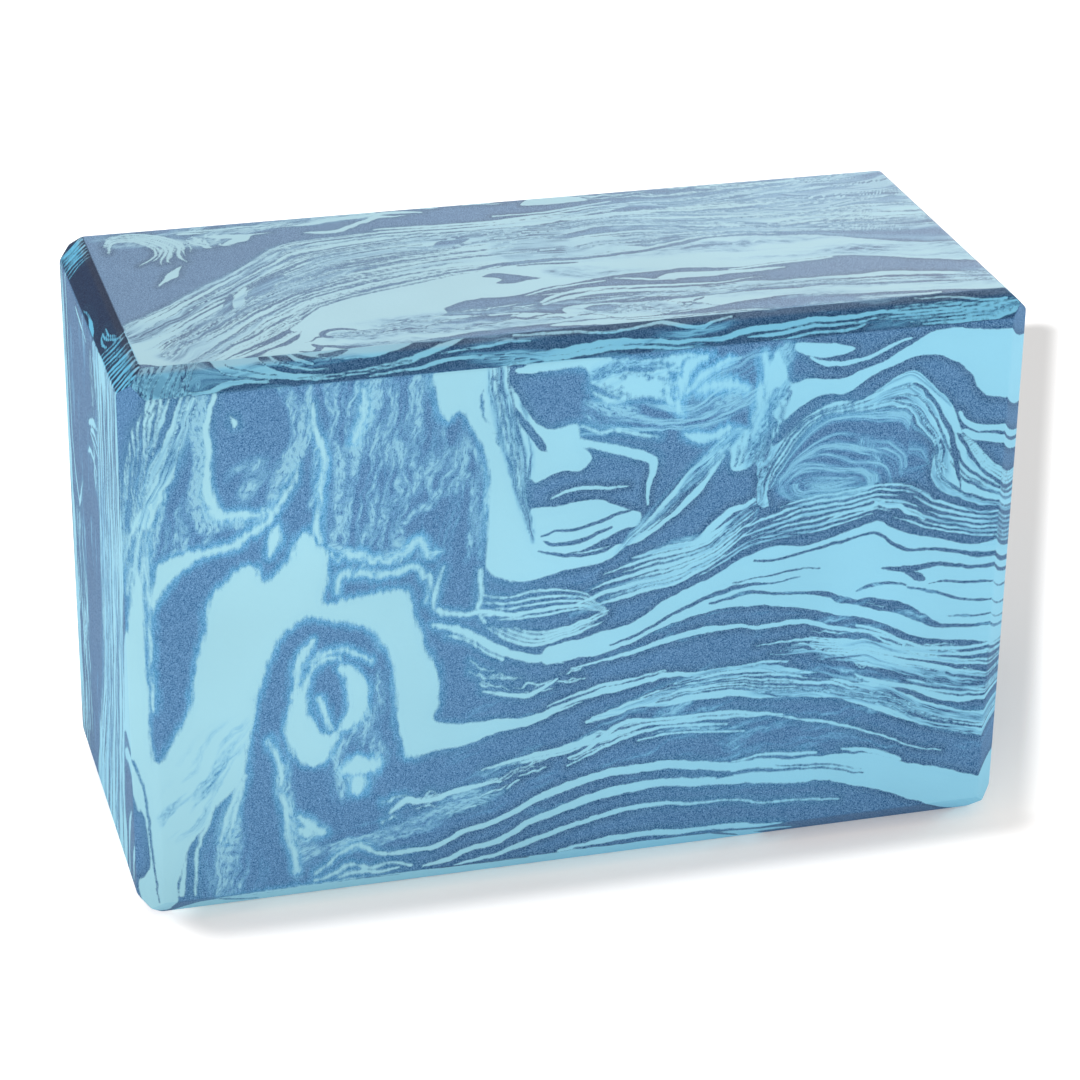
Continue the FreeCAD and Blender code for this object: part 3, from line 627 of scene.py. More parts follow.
TOP_FAR = [
    # finer, softer streaks towards the back
    *fan(AQUA, FAR_LOW, FAR_MID, (0.15, 0.5, 0, 0.6), (0.35, 0.9, 0.05, 0.5), (0.55, 0.5, 0, 0.9),
        (0.75, 0.9, 0.1, 1), (0.9, 0.4, 0.3, 1)),
    vein(AQUA, (108, 61, 0.6), (120, 61.4, 0.7), (132, 60.9, 0.8), (156, 61.4, 0.4)),
    vein(AQUA, (108, 63.4, 0.3), (122, 64, 0.4), (150, 63, 0.3)),
    vein(AQUA, (108, 54, 0.4), (124, 52, 0.5), (138, 52.4, 0.5), (162, 58.6, 0.4)),
    patch(AQUA, (106, 66.6), (116, 67.6), (127, 69.8), (138, 71), (150, 69), (172, 62), (186, 60.6),
        (204, 59), (226, 57.6), (226, 66), (212, 69), (188, 68.6), (176, 70), (160, 72.6), (134, 73),
        (120, 71.6), (106, 70.6)),
    *fibres(SLATE, 232, 34, ((106, 67), (138, 71.4), (164, 64.6), (200, 60), (226, 58)), ((106, 71),
        (138, 73), (164, 72), (200, 69), (226, 66)), 0.25, 0.34, 0.05),
    vein(SLATE, (172, 62.6, 0.3), (180, 61.4, 0.6), (190, 60.6, 0.3)),
    *fan(AQUA, FAR_MID, FAR_HIGH, (0.08, 0.7, 0, 0.7), (0.2, 0.4, 0.2, 1), (0.33, 0.9, 0, 1),
        (0.47, 0.4, 0.1, 0.8), (0.58, 0.8, 0.25, 1), (0.7, 0.5, 0, 0.6), (0.8, 0.9, 0.1, 1),
        (0.92, 0.5, 0, 0.9)),
    *fibres(AQUA, 234, 22, ((106, 76), (126, 79), (150, 78), (190, 80), (226, 78)), ((106, 80), (126, 82),
        (160, 80), (200, 76), (226, 78)), 0.4, 0.5, 0.06),
    patch(SLATE, (142, 80.6), (146, 83), (152, 84.4), (157, 83), (158.6, 80.4), (150, 79.8)),
    patch(AQUA, (121, 90.6), (124, 94.6), (130, 95.4), (136, 94), (139, 90.6), (131, 89.6)),
    *fibres(AQUA, 235, 30, ((106, 93), (150, 91), (190, 92), (226, 96)), ((106, 97), (226, 97)), 0.2, 0.4,
        0.1),
    vein(AQUA, (112, 85, 0.3), (124, 84.4, 0.5), (134, 86, 0.5), (144, 89, 0.4)),
    vein(AQUA, (200, 72, 0.4), (220, 77.4, 0.5)),
]

# places on the left end are (from the front plane, up)
STREAK_LOW = ((3, 143), (6.4, 122), (8.4, 102), (9.6, 84), (12, 66), (19, 28), (23, 4))
STREAK_HIGH = ((39, 143), (38, 126), (40.6, 106), (44, 70), (48, 50), (55, 35), (61, 22), (65, 4))

LEFT_END = [
    # near-vertical streaks on the front third
    patch(AQUA, *STREAK_LOW, *STREAK_HIGH[::-1]),
    *fan(SLATE, STREAK_LOW, STREAK_HIGH, (0.1, 0.5, 0.3, 1), (0.18, 0.7, 0, 0.5), (0.24, 0.8, 0.45, 1),
        (0.33, 0.6, 0, 0.45), (0.36, 0.7, 0.5, 1), (0.46, 0.7, 0, 0.4), (0.5, 0.8, 0.42, 1),
        (0.58, 0.5, 0.05, 0.35), (0.62, 0.9, 0.55, 1), (0.68, 1.3, 0.05, 0.34), (0.76, 0.6, 0.5, 0.9),
        (0.8, 0.7, 0.1, 0.5), (0.9, 0.9, 0.12, 0.5), (0.94, 0.6, 0.5, 0.8)),
    *fibres(SLATE, 241, 60, STREAK_LOW, STREAK_HIGH, 0.35, 0.55, 0.012),
    *fibres(AQUA, 242, 26, STREAK_LOW, STREAK_HIGH, 0.3, 0.4, 0.012),
    # stripes of the near corner, from the chamfer
    *fan(AQUA, ((-1, 143), (8, 102)), ((-1, 112), (10, 80)), (0.05, 1, 0, 1), (0.22, 0.8, 0, 1),
        (0.4, 1, 0, 1), (0.58, 0.8, 0, 1), (0.78, 0.9, 0, 1), (0.96, 0.7, 0, 1)),
    # the plain pale patch and the dark foot in front
    patch(AQUA, (-1, 86), (4, 82), (7.6, 77), (10, 70), (14, 53), (17, 47), (12, 49), (7, 47), (2, 47.6),
        (-1, 47)),
    vein(AQUA, (-1, 40, 2.2), (4, 41, 2), (9, 43, 2), (14, 42, 1.4)),
    vein(AQUA, (2, 26, 0.2), (5, 20, 0.8), (8, 14.6, 0.9), (9.6, 8, 0.4)),
    vein(AQUA, (9, 29, 0.3), (12, 24, 1), (14.6, 17, 1), (16, 7, 0.6)),
    # wisps in the plain slate
    vein(AQUA, (39, 119, 0.4), (44, 118.4, 1), (49, 116.6, 0.8), (53, 114.6, 0.3)),
    vein(AQUA, (40, 114.6, 0.5), (45, 115.6, 0.9), (50, 114, 0.5)),
    vein(AQUA, (40, 111, 0.4), (45, 112.4, 0.6), (51, 112.6, 0.3)),
    vein(AQUA, (43, 104.6, 0.3), (49, 107, 0.7), (53, 107.4, 0.7), (57, 105.6, 0.3)),
    vein(AQUA, (69.6, 91, 0.2), (76.6, 84, 0.8), (79, 81, 0.5)),
    vein(AQUA, (79, 81.6, 0.5), (81.6, 85.6, 0.8), (86, 97, 0.5), (86.4, 112, 0.5), (86, 128, 0.6),
        (85, 142, 0.6)),
    vein(AQUA, (52, 136, 0.2), (60, 138.6, 0.6), (68, 139.6, 0.4)),
    *fibres(AQUA, 243, 18, ((38, 140), (40, 118), (43, 96)), ((46, 138), (48, 118), (48, 100)), 0.25, 0.35,
        0.06),
    # fuzzy stripes towards the back
    *fibres(AQUA, 244, 30, ((74, 78), (73, 50), (74, 6)), ((88, 78), (87, 50), (88, 6)), 0.3, 0.5, 0.03),
    *fibres(AQUA, 245, 34, ((89, 143), (90, 90), (88, 6)), ((97, 143), (98, 90), (97, 6)), 0.4, 0.8, 0.05),
]

# places on the top front chamfer are (along the length, up the chamfer from the front)
TOP_CHAMFER = [
    *fan(AQUA, ((-4, -2), (-1, 4), (2, 10)), ((15, -2), (17, 4), (21, 10)), (0.02, 0.7, 0, 1),
        (0.13, 1, 0, 1), (0.27, 0.5, 0, 1), (0.38, 1.1, 0, 1), (0.52, 0.6, 0, 1), (0.63, 1, 0, 1),
        (0.76, 0.5, 0, 1), (0.87, 0.8, 0, 1), (0.96, 0.4, 0, 1)),
    vein(AQUA, (15.6, 1.4, 0.3), (18.6, 0.8, 0.5), (22, 1.4, 0.5), (26, 2.7, 0.7), (30, 2.8, 0.5),
        (35, 2, 0.3)),
    patch(AQUA, (22.6, 9.5), (24.6, 6.4), (28, 4.6), (44, 1), (52, 0.7), (64, 2), (75, 4.6), (85, 9),
        (80, 8.2), (74, 5.8), (62, 3), (50, 1.9), (40, 3.8), (36.6, 5.6), (34.6, 8), (33.6, 9.6),
        (28, 9.8)),
    vein(SLATE, (42, 1.9, 0.1), (50, 1.3, 0.25), (60, 2, 0.25), (70, 3.8, 0.2)),
    vein(SLATE, (26, 8.5, 0.1), (28, 6.6, 0.25), (38, 3.2, 0.15)),
    vein(AQUA, (36.6, 9, 0.3), (38.6, 6.8, 0.4), (45, 4, 0.3), (50, 3.3, 0.2)),
    vein(AQUA, (41, 9, 0.5), (43, 7, 0.5), (46, 5.6, 0.4)),
    patch(AQUA, (43, 9.8), (46, 7.6), (50, 6.2), (56, 5.4), (62, 5.6), (68, 6.8), (72, 8.4), (74, 10),
        (58, 11)),
    vein(SLATE, (48, 7.4, 0.3), (52, 7, 0.7), (55, 7.8, 0.3)),
    vein(AQUA, (60, 0.3, 0.2), (72, 1.9, 0.4), (78, 3, 0.5), (86, 3.2, 0.5), (94, 2.4, 0.6),
        (102, 2.4, 0.7), (118, 3.6, 0.8), (126, 3.7, 0.7), (141, 2, 0.5), (147, 1.5, 0.7), (157, 3.7, 0.9),
        (166, 4, 0.8), (186, 5, 0.5), (198, 4.4, 0.4), (226, 4.4, 0.3)),
    vein(AQUA, (78, 5, 0.2), (94, 6.4, 0.4), (100, 6, 0.2)),
    vein(AQUA, (92, 0.2, 0.2), (98, 1, 0.4), (114, 1.8, 0.6), (124, 2.2, 0.5), (140, 0.4, 0.3)),
    vein(AQUA, (96, 7.8, 0.3), (112, 6.8, 0.3), (118, 6.2, 0.3), (130, 8, 0.4), (134, 8, 0.5),
        (142, 5.6, 0.6), (146, 6.8, 0.4), (151, 7.6, 0.3)),
    vein(AQUA, (154, 1.2, 0.2), (162, 2, 0.5), (188, 3.6, 0.25)),
    vein(AQUA, (160, 0.2, 0.3), (178, 1.4, 0.3), (184, 2.4, 0.2)),
    *fan(AQUA, ((184, 2.6), (200, 2.4), (227, 3.2)), ((184, 6.4), (200, 6.8), (227, 5.4)),
        (0.05, 0.25, 0.1, 1), (0.25, 0.3, 0, 1), (0.7, 0.2, 0, 0.9), (0.85, 0.2, 0.2, 1)),
    *fan(AQUA, ((196, -0.6), (210, 0.2), (227, 2)), ((196, 1.6), (210, 2), (227, 3)), (0.1, 0.5, 0.1, 1),
        (0.5, 0.3, 0, 1), (0.95, 0.3, 0, 1)),
    vein(AQUA, (198, 8, 0.2), (212, 7, 0.3), (222, 5.6, 0.3)),
]

# places on the top left chamfer are (from the front plane, up the chamfer from the left end)
END_CHAMFER = [
    *fan(AQUA, ((1, -1), (2, 4), (1, 10)), ((30, -1), (29, 4), (30, 10)), (0.02, 0.9, 0, 1),
        (0.1, 0.5, 0, 1), (0.18, 0.7, 0, 1), (0.26, 0.4, 0, 1), (0.34, 0.8, 0, 1), (0.43, 0.5, 0, 1),
        (0.5, 0.5, 0, 0.8), (0.57, 0.7, 0, 1), (0.66, 0.4, 0.1, 1), (0.74, 0.6, 0, 1), (0.82, 0.4, 0, 0.8),
        (0.9, 0.5, 0, 1), (0.98, 0.4, 0.1, 1)),
    vein(AQUA, (28, 7.6, 0.3), (31, 5, 0.4), (34, 3.6, 0.35), (38, 3.2, 0.2)),
    vein(AQUA, (30, 2.8, 0.3), (33, 2.2, 0.35), (37, 2.4, 0.2)),
    vein(AQUA, (31, 6.6, 0.2), (34, 4.9, 0.3), (38.6, 4.5, 0.2)),
    vein(AQUA, (40, -1, 0.9), (44, 0, 1), (52, 1, 0.3), (58, 0.4, 0.2)),
    *fan(AQUA, ((80, -1), (82, 4), (81, 10)), ((96, -1), (95, 4), (96, 10)), (0.02, 0.3, 0, 1),
        (0.15, 0.3, 0, 1), (0.3, 0.5, 0, 1), (0.42, 0.4, 0, 1), (0.56, 0.6, 0, 1), (0.7, 0.5, 0, 1),
        (0.85, 0.7, 0, 1), (0.97, 0.6, 0, 1)),
]

# places on the left front chamfer are (chart run, up), joined to the front's own
FRONT_LEFT_CHAMFER = [
    patch(AQUA, (-6, 82), (-2.2, 80), (-1, 87), (0.6, 94), (1.8, 98), (2.7, 95), (2.8, 84), (2.4, 64),
        (3.6, 50), (4.6, 44), (6, 44), (8, 30), (9, 12), (8, 0), (2, 1), (-1, 4), (-3, 20), (-6, 44)),
    vein(AQUA, (-3, 96, 0.4), (1.4, 108, 0.7), (6, 116, 0.5)),
    vein(SLATE, (-3, 44.6, 0.3), (-1, 43.2, 0.45), (0, 40, 0.5), (1, 34, 0.5), (4.2, 6, 0.2)),
    patch(SLATE, (-6, 35), (-2.4, 34), (-1.4, 30), (-0.4, 31), (0.6, 27), (1.8, 21), (2, 16), (0.6, 13),
        (-1.4, 11), (-2.4, 8), (-6, 6)),
]

# places on the lower front chamfer are (along the length, chart height)
FOOT_CHAMFER = [
    patch(AQUA, (14, 3), (30, 4), (60, 4), (100, 3), (130, 4), (150, 3.6), (160, 1.4), (166, -2.5),
        (170, -6), (150, -8), (20, -8)),
    patch(SLATE, (148, 6), (152, 2), (158, -1), (151, 5)),
    patch(AQUA, (208, 8), (211, 4), (215, 0.6), (220, -2), (228, -4), (232, 4), (226, 10)),
    vein(SLATE, (20, 4, 0.5), (24, 2, 0.5), (30, 0, 0.3)),
]

FRONT_VEILS = (
    # round the oval by the left edge
    (0.85, 88, 1.6, vein(AQUA, (18.6, 143, 2.6), (18.4, 122, 2.4), (18.6, 110.6, 4), (24, 109.4, 2.6),
        (30, 109.2, 2.2), (34.4, 111, 1))),
    (0.4, 60, 5, patch(AQUA, (26, 123), (34, 125), (36, 121), (33, 115), (27, 115))),
    (0.75, 76, 2, vein(AQUA, (39, 142.6, 1.4), (42.4, 135, 2.4), (42.4, 128, 2.6), (38, 121, 2.4),
        (34, 110, 1))),
    (0.8, 72, 2, vein(AQUA, (47, 127, 1), (46.4, 121, 1.6), (44.6, 110, 0.6))),
    (0.5, 84, 3, patch(AQUA, (5, 97), (5, 110), (8, 117), (14, 117), (15, 108), (21, 106), (18, 103),
        (9, 101))),
    combed(0.1, 3, BOTH, ((-1, 90), (4, 106), (14, 128), (19, 143)), ((-6, 104), (-4, 120), (0, 132),
        (6, 143))),
    # the combed field with its clumps
    (0.3, 81, 4, patch(AQUA, (47, 143), (76, 143), (76, 132), (78, 128), (82, 127), (85, 122), (88, 112),
        (87, 98), (82, 92), (74, 97), (66, 97), (50, 100), (47, 104), (49.6, 118), (49, 126))),
    (0.8, 80, 2.4, vein(AQUA, (54.6, 118, 1), (58.6, 132, 2.4), (60.4, 142, 2.4))),
    (0.7, 84, 2.4, vein(AQUA, (51.6, 127, 0.6), (52, 122, 1.4), (51, 113, 1.2), (52, 104, 1.6))),
    (0.7, 80, 3, patch(AQUA, (63.6, 125), (67, 126), (69, 121), (67, 117.6), (64, 119))),
    (0.6, 75, 2.2, vein(AQUA, (44.6, 143, 1.4), (46, 130, 0.8))),
    # folds with their crest, and creases under them
    (0.6, 58, 2.6, vein(AQUA, (64, 106, 0.6), (66.6, 108.4, 1.2), (68, 112, 1.6), (71, 113, 1.8),
        (73, 116.4, 1.8), (76, 116.8, 1.8), (79, 120, 1.6), (82, 121.6, 0.8))),
    (0.8, 62, 1.8, vein(AQUA, (68, 104, 0.6), (71, 107, 1), (73.6, 107.4, 1), (76, 110.4, 1.2),
        (79, 110.8, 1.4), (82, 114, 1.6), (84, 112, 0.8), (86, 100, 0.6), (86.4, 92, 0.6))),
    (0.8, 86, 1.6, vein(AQUA, (82, 125, 0.8), (86, 119, 0.8), (88, 110, 0.9), (88, 98, 0.8))),
    (0.9, 4, 1.8, vein(AQUA, (49.6, 100, 0.8), (57, 95.6, 1.4), (62, 94.6, 1.4), (67, 95.8, 1.4),
        (72, 98.4, 1.2), (74, 94.6, 0.9), (77, 95.6, 0.5))),
    (0.8, 86, 2, vein(AQUA, (51, 87, 0.8), (52.4, 91.6, 1.2), (64, 90.4, 1), (70, 91.4, 1), (73, 87, 0.8),
        (74, 82, 0.6))),
    (0.45, 82, 3, patch(AQUA, (49.6, 100), (58, 98), (66, 98), (73, 100), (75, 94), (58, 92), (51, 90))),
    # the ring's heart and the spots below it
    (0.62, 86, 5, patch(AQUA, (46, 43), (51, 48), (56, 55), (60.6, 64), (62.4, 56), (59.6, 48), (63, 41),
        (60, 35), (57, 28.6), (51, 29.6), (49, 36))),
    (0.55, 84, 3.4, vein(AQUA, (35.4, 50, 0.6), (37, 42, 1.6), (37, 35, 2.2), (39.4, 10, 1.4))),
    (0.55, 22, 3, patch(AQUA, (40, 27), (48, 21.4), (45, 19), (47, 15.6), (41, 12.6), (39, 18))),
    (0.5, 50, 2, vein(AQUA, (40, 60, 1.2), (42, 67, 1), (46.6, 70.6, 1.2), (53, 71, 1), (59, 67, 0.8))),
    (0.5, 88, 3.4, vein(AQUA, (60.6, 73, 1.4), (64.4, 66, 1.8), (65.4, 56, 1.2), (65, 48, 1.2),
        (67.4, 40.6, 1.6))),
    (0.3, 8, 4, patch(AQUA, (45, 16), (56, 22), (70, 23), (84, 30), (96, 34), (100, 30), (86, 22),
        (70, 15.6), (56, 13))),
    (0.05, 50, 6, patch(SLATE, (6, 27), (9, 40), (18, 51), (27, 54), (25, 42), (14, 27))),
    (0.3, 80, 5, patch(AQUA, (20, 34), (26, 38), (27, 24), (31, 12), (28, 7), (18, 7), (19, 22))),
    # faint streaks along the bands
    (-0.25, 17, 10, patch(AQUA, (84, 50), (110, 56), (140, 72), (146, 34), (110, 18), (84, 22))),
    (-0.25, 2, 10, patch(AQUA, (138, 72), (184, 80), (184, 30), (140, 24))),
    (-0.25, -17, 10, patch(AQUA, (180, 82), (224, 72), (224, 8), (182, 26))),
    # the fibrous slate in the upper middle and the column beside it
    combed(0.3, 2.5, AQUA, ((137, 121), (152, 124), (158, 128)), ((137, 131), (158, 141))),
    (0.85, 20, 3, patch(AQUA, (145, 126), (148, 130.6), (154, 131.6), (156, 127.6), (151, 125))),
    (0.9, 32, 1.4, vein(AQUA, (139.4, 131.6, 0.6), (147, 136.8, 0.8), (152, 139, 0.5))),
    combed(0.25, 2, AQUA, ((112, 121), (124, 120.4), (136, 119.4)), ((113, 131), (124, 130), (136, 127))),
    (0.8, 60, 3, patch(AQUA, (159, 141), (165, 141), (165, 136), (162, 129), (159.4, 128))),
    (0.6, -20, 3, patch(AQUA, (113, 131), (126, 128.6), (122, 124.6), (114, 125.6))),
    (0.62, 12, 3, patch(SLATE, (114, 139), (122, 140.6), (134, 139.6), (133, 135.6), (124, 136.4),
        (116, 134))),
    combed(0.4, 1.5, SLATE, ((88, 143), (92, 122), (98.6, 98)), ((96, 142), (99, 124), (100, 98))),
    combed(0.35, 1.5, BOTH, ((124, 90.6), (152, 117)), ((123, 92), (143, 114), (151, 120))),
    # in and round the eye
    combed(-0.1, 1.5, BOTH, SHELL_LOW, SHELL_HIGH),
    (0.3, (LENS_RIM, LENS_SPINE), 1.5, patch(AQUA, *LENS_RIM[:-1])),
    combed(0.15, 2, AQUA, HEART_LOW, SHELL_LOW[1:13]),
    (0.7, 100, 3, vein(AQUA, (184, 113, 0.8), (187, 111.6, 1.6), (188.4, 107, 1.2))),
    (0.9, 5, 5, patch(AQUA, (170, 103.4), (175, 104.4), (181, 103), (181, 100), (174, 99.2))),
    combed(0.2, 1.5, SLATE, ((142, 78.6), (162, 87), (170, 86.6), (180, 88), (189, 90.6), (207, 83.6),
        (228, 80)), ((150, 94), (157, 99), (170, 97), (187, 98), (192, 96.4), (198, 99), (212, 93.4),
        (228, 89.4))),
    combed(0.15, 2, BOTH, ((110, 73), (130, 78.4), (140, 80), (150, 85), (158, 93), (159, 104)), ((112, 84),
        (122, 88), (141, 92), (154, 103), (156, 112))),
    combed(0.2, 2, SLATE, ((160, 52), (188, 50), (208, 41), (228, 36)), ((150, 60), (168, 60.5), (182, 59),
        (206, 53), (228, 50.4))),
    combed(0.1, 2, BOTH, ((117, 43), (142, 45.6), (160, 44.6), (186, 39), (210, 28.6), (228, 24)),
        ((117, 45), (142, 53), (160, 53), (186, 47), (210, 36), (228, 31))),
    (0.35, 60, 3, patch(SLATE, (155, 120), (165, 132), (161, 112), (160, 102), (156, 102))),
)

TOP_VEILS = (
    combed(0.42, 4, BOTH, SWEEP_LOW, SWEEP_HIGH),
    combed(0.42, 4, BOTH, FAR_LOW, FAR_MID),
    combed(0.42, 6, BOTH, FAR_MID, FAR_HIGH),
    # painted shade: a dusky slate haze that dims the right of the lens under the sheen
    (0.3, -6, 6, patch(SLATE, (120, 38), (150, 40), (190, 38), (226, 27), (226, 38), (200, 47), (170, 54),
        (120, 48))),
    (0.3, -3, 5, patch(BOTH, (60, 4), (120, 4), (224, 4), (224, 20), (120, 24), (60, 20))),
    (0.35, 25, 3, patch(AQUA, (10, 86), (20, 84), (34, 80), (50, 88), (70, 90), (84, 94), (60, 97),
        (10, 97))),
)

END_VEILS = (
    combed(0.05, 2, BOTH, STREAK_LOW, STREAK_HIGH),
    (-0.35, 97, 4, patch(BOTH, (40, 3), (98, 3), (98, 145), (40, 145))),
)

CUT_VEILS = (
    combed(0.1, 1.5, BOTH, ((24, -1), (228, 1.6)), ((24, 10), (120, 8.6), (170, 9), (228, 7))),
    (0.4, 72, 2, patch(BOTH, (-3, -2), (14, -2), (22, 10), (1, 10))),
)

# the marbling of each unrolled face; brow is the long chamfer above the front, temple the one above the end
CHARTS = {
    "front": FRONT + FRONT_LEFT_CHAMFER + FOOT_CHAMFER,
    "top": TOP_LEFT + TOP_FRONT_EDGE + TOP_LENS + TOP_FAR,
    "end": LEFT_END,
    "brow": TOP_CHAMFER,
    "temple": END_CHAMFER,
}

# places where the foams ran into one another softly: a face, a place on it, a radius and an amount
SOFT_SPOTS = (
    ("front", 36, 78, 58, 0.75),
    ("front", 66, 114, 30, 0.9),
    ("front", 146, 131, 20, 0.9),
    ("front", 57, 38, 16, 0.8),
    ("front", 40, 20, 30, 0.6),
    ("front", 120, 135, 20, 0.5),
    ("front", 178, 112, 14, 0.5),
    ("front", 160, 20, 30, 0.25),
    ("top", 70, 60, 40, 0.25),
    ("top", 180, 78, 45, 0.45),
    ("end", 30, 70, 60, 0.4),
)

# on each face the size of the streaks and the hazes of one foam in the other, each with its share,
# its streaks' angle or guide lines, a feather and a mark
VEILS = {
    "front": (1.0, FRONT_VEILS),
    "top": (1.8, TOP_VEILS),
    "end": (1.0, END_VEILS),
    "brow": (1.0, CUT_VEILS),
    "temple": (1.0, ()),
}

# how far each of these faces, and any other long chamfer, is painted in the darker colours: painted shade on
# the chamfers, which catch less sheen than the faces, and on the left end
PAINTED_SHADE_SHARES = {"temple": 1.0, "brow": 0.5, "end": 0.3}
LONG_CHAMFER_SHADE_SHARE = 0.25

# octaves of the streaks: their pitch across in millimetres and their share
STREAK_OCTAVES = ((2.4, 0.45), (1.2, 0.4), (0.75, 0.3))
# streaks between guide lines and at an angle: how drawn out each octave is, their gain, and how much shorter
# their fine threads are
GUIDED_STREAKS = ((10, 14, 20), 2.0, 1)
ANGLED_STREAKS = ((6, 8, 9), 1.3, 4)
STREAK_SEED = 300
# how their lines wander: a pitch, an amount in millimetres and a seed
GUIDED_WANDERS = ((7, 1.1, 5),)
ANGLED_WANDERS = ((7, 1.1, 5), (2.2, 0.5, 6))

# how the drawing wanders, given in the same way; faces that the photo doesn't show wander further
WANDERS = ((9, 0.7, 10), (2.2, 0.22, 20))
UNSEEN_WANDER = (34, 7.0, 0)
UNSEEN_SIDES = ((0, 1, 0), (0, 0, -1))

# lines that run round to the right end: how far they dip, at what height, over what rise and in what run
END_DIP = 5.0
END_DIP_HEIGHT = 42.0
END_DIP_RISE = 15.0
END_DIP_RUN = 4.0
# how much they are drawn together there, and the height that they turn back up at
END_SQUEEZE = 0.25
END_FOOT = 4
# where on the brow the right end's upper chamfer reads its marbling from
RIGHT_BROW = 60
# a soft spot's share at its middle, cut off at one, and how far it falls with each radius
SOFT_MIDDLE = 1.6
SOFT_FALL = 1.2

# where the seams meet the front plane: under the floor in shares of the ply rise, over it of the height
SEAMS_UNDER = (
    (-0.57, -0.53, -0.48, -0.43, -0.43, -0.47, -0.52, -0.57, -0.60),
    (-0.13, -0.08, -0.05, -0.05, -0.07, -0.10, -0.15, -0.22, -0.27),
)
SEAMS_OVER = (
    (0.040, 0.047, 0.054, 0.068, 0.125, 0.135, 0.122, 0.064, 0.034),
    (0.095, 0.088, 0.101, 0.125, 0.179, 0.186, 0.176, 0.139, 0.081),
    (0.203, 0.216, 0.243, 0.277, 0.284, 0.307, 0.291, 0.220, 0.169),
    (0.297, 0.304, 0.311, 0.324, 0.331, 0.358, 0.358, 0.304, 0.243),
    (0.392, 0.392, 0.392, 0.405, 0.412, 0.466, 0.456, 0.389, 0.358),
    (0.514, 0.500, 0.473, 0.459, 0.473, 0.527, 0.581, 0.578, 0.541),
    (0.635, 0.622, 0.595, 0.581, 0.581, 0.622, 0.676, 0.669, 0.628),
    (0.730, 0.716, 0.703, 0.676, 0.669, 0.696, 0.824, 0.865, 0.743),
    (0.797, 0.791, 0.784, 0.784, 0.797, 0.804, 0.858, 0.899, 0.811),
    (0.865, 0.865, 0.872, 0.878, 0.878, 0.872, 0.889, 0.932, 0.872),
)

# the plies from the bottom up, each between its own seam and the one above it
PLIES = (
    "slate_base_ply",
    "aqua_underside_ply",
    "slate_foot_ply",
    "aqua_lower_ply",
    "slate_wide_ply",
    "aqua_streaked_ply",
    "slate_middle_ply",
    "aqua_stream_ply",
    "slate_striped_ply",
    "aqua_eye_ply",
    "slate_arch_ply",
    "aqua_upper_ply",
    "slate_crown_ply",
)

# spacing of a ply's rows, and of those that close up on an edge, as shares of the mesh step
ROW_SHARE = 0.85
EDGE_ROW_SHARE = 0.28
# how many points there are in a mesh step, across the ends and over the end chamfers
CAP_SHARE = 0.8
CHAMFER_SHARE = 1.5
# how far the closing rows reach at least, in millimetres
KNEE_GAP = 0.3

# the foam's inputs with the attributes that feed them, and the names of its colours, among them painted
# sheen and painted shade
FOAM_INPUTS = {
    "Depth": "marbling_depth",
    "Haze": "marbling_haze",
    "Along": "haze_along",
    "Across": "haze_across",
    "Softness": "marbling_softness",
    "Cut Face": "cut_face",
}
FOAM_COLOURS = ("Slate", "Aqua", "Pale Aqua", "Fringe", "Cut Slate", "Cut Aqua")

# the six faces and twelve chamfers, by the direction each one looks in
SIDES = [
    (x, y, z)
    for x in (-1, 0, 1)
    for y in (-1, 0, 1)
    for z in (-1, 0, 1)
    if 1 <= abs(x) + abs(y) + abs(z) <= 2
]


def from_span(u, v, p, q):
    """How far each point lies from a span of a line, and the share of the span that its foot stands at."""
    du, dv = q[:2] - p[:2]
    t = np.clip(((u - p[0]) * du + (v - p[1]) * dv) / (du * du + dv * dv + TINY), 0, 1)
    return np.hypot(u - p[0] - t * du, v - p[1] - t * dv), t


def reach_inside(u, v, closed, path):
    """How deep each point lies inside a mark: half width less distance, or depth inside an outline."""
    ends = np.roll(path, -1, axis=0)
    count = len(path) if closed else len(path) - 1
    best = np.full(u.shape, -np.inf)
    odd = np.zeros(u.shape, bool)
    for p, q in zip(path[:count], ends[:count]):
        gap, t = from_span(u, v, p, q)
        if closed:
            np.maximum(best, -gap, out=best)
            crosses = (p[1] > v) != (q[1] > v)
            odd ^= crosses & (u < p[0] + (v - p[1]) * (q[0] - p[0]) / (q[1] - p[1] or TINY))
        else:
            np.maximum(best, p[2] + t * (q[2] - p[2]) - gap, out=best)
    return np.where(odd, -best, best)


def near_mark(u, v, closed, path, margin):
    """Numbers of the points in a mark's bounds and a margin round them."""
    spread = margin if closed else margin + path[:, 2].max()
    low, high = path[:, :2].min(0) - spread, path[:, :2].max(0) + spread
    return np.flatnonzero((u > low[0]) & (u < high[0]) & (v > low[1]) & (v < high[1]))


def eased(share):
    """A share from 0 to 1 that sets in and ends gently: three times its square less twice its cube."""
    return share * share * (3 - 2 * share)


def marbling(u, v, marks):
    """Depth into the aqua foam, negative in slate: later marks lie over earlier ones."""
    depth = np.full(u.shape, -REACH)
    for foam, closed, path in marks:
        near = near_mark(u, v, closed, path, REACH)
        if near.size:
            inside = np.clip(reach_inside(u[near], v[near], closed, path), -REACH, REACH)
            over = np.maximum if foam == AQUA else np.minimum
            depth[near] = over(depth[near], inside * foam)
    return depth


def drift(u, v, pitch, seed):
    """Seeded smooth noise from -1 to 1: random heights on a square lattice, eased from one to the next."""
    lattice = np.random.default_rng(seed).uniform(-1, 1, (LATTICE, LATTICE))
    i, j = np.floor(u / pitch).astype(int), np.floor(v / pitch).astype(int)
    s, t = eased(u / pitch - i), eased(v / pitch - j)
    i, j, right, up = (place % LATTICE for place in (i, j, i + 1, j + 1))
    low = lattice[i, j] * (1 - s) + lattice[right, j] * s
    high = lattice[i, up] * (1 - s) + lattice[right, up] * s
    return low * (1 - t) + high * t


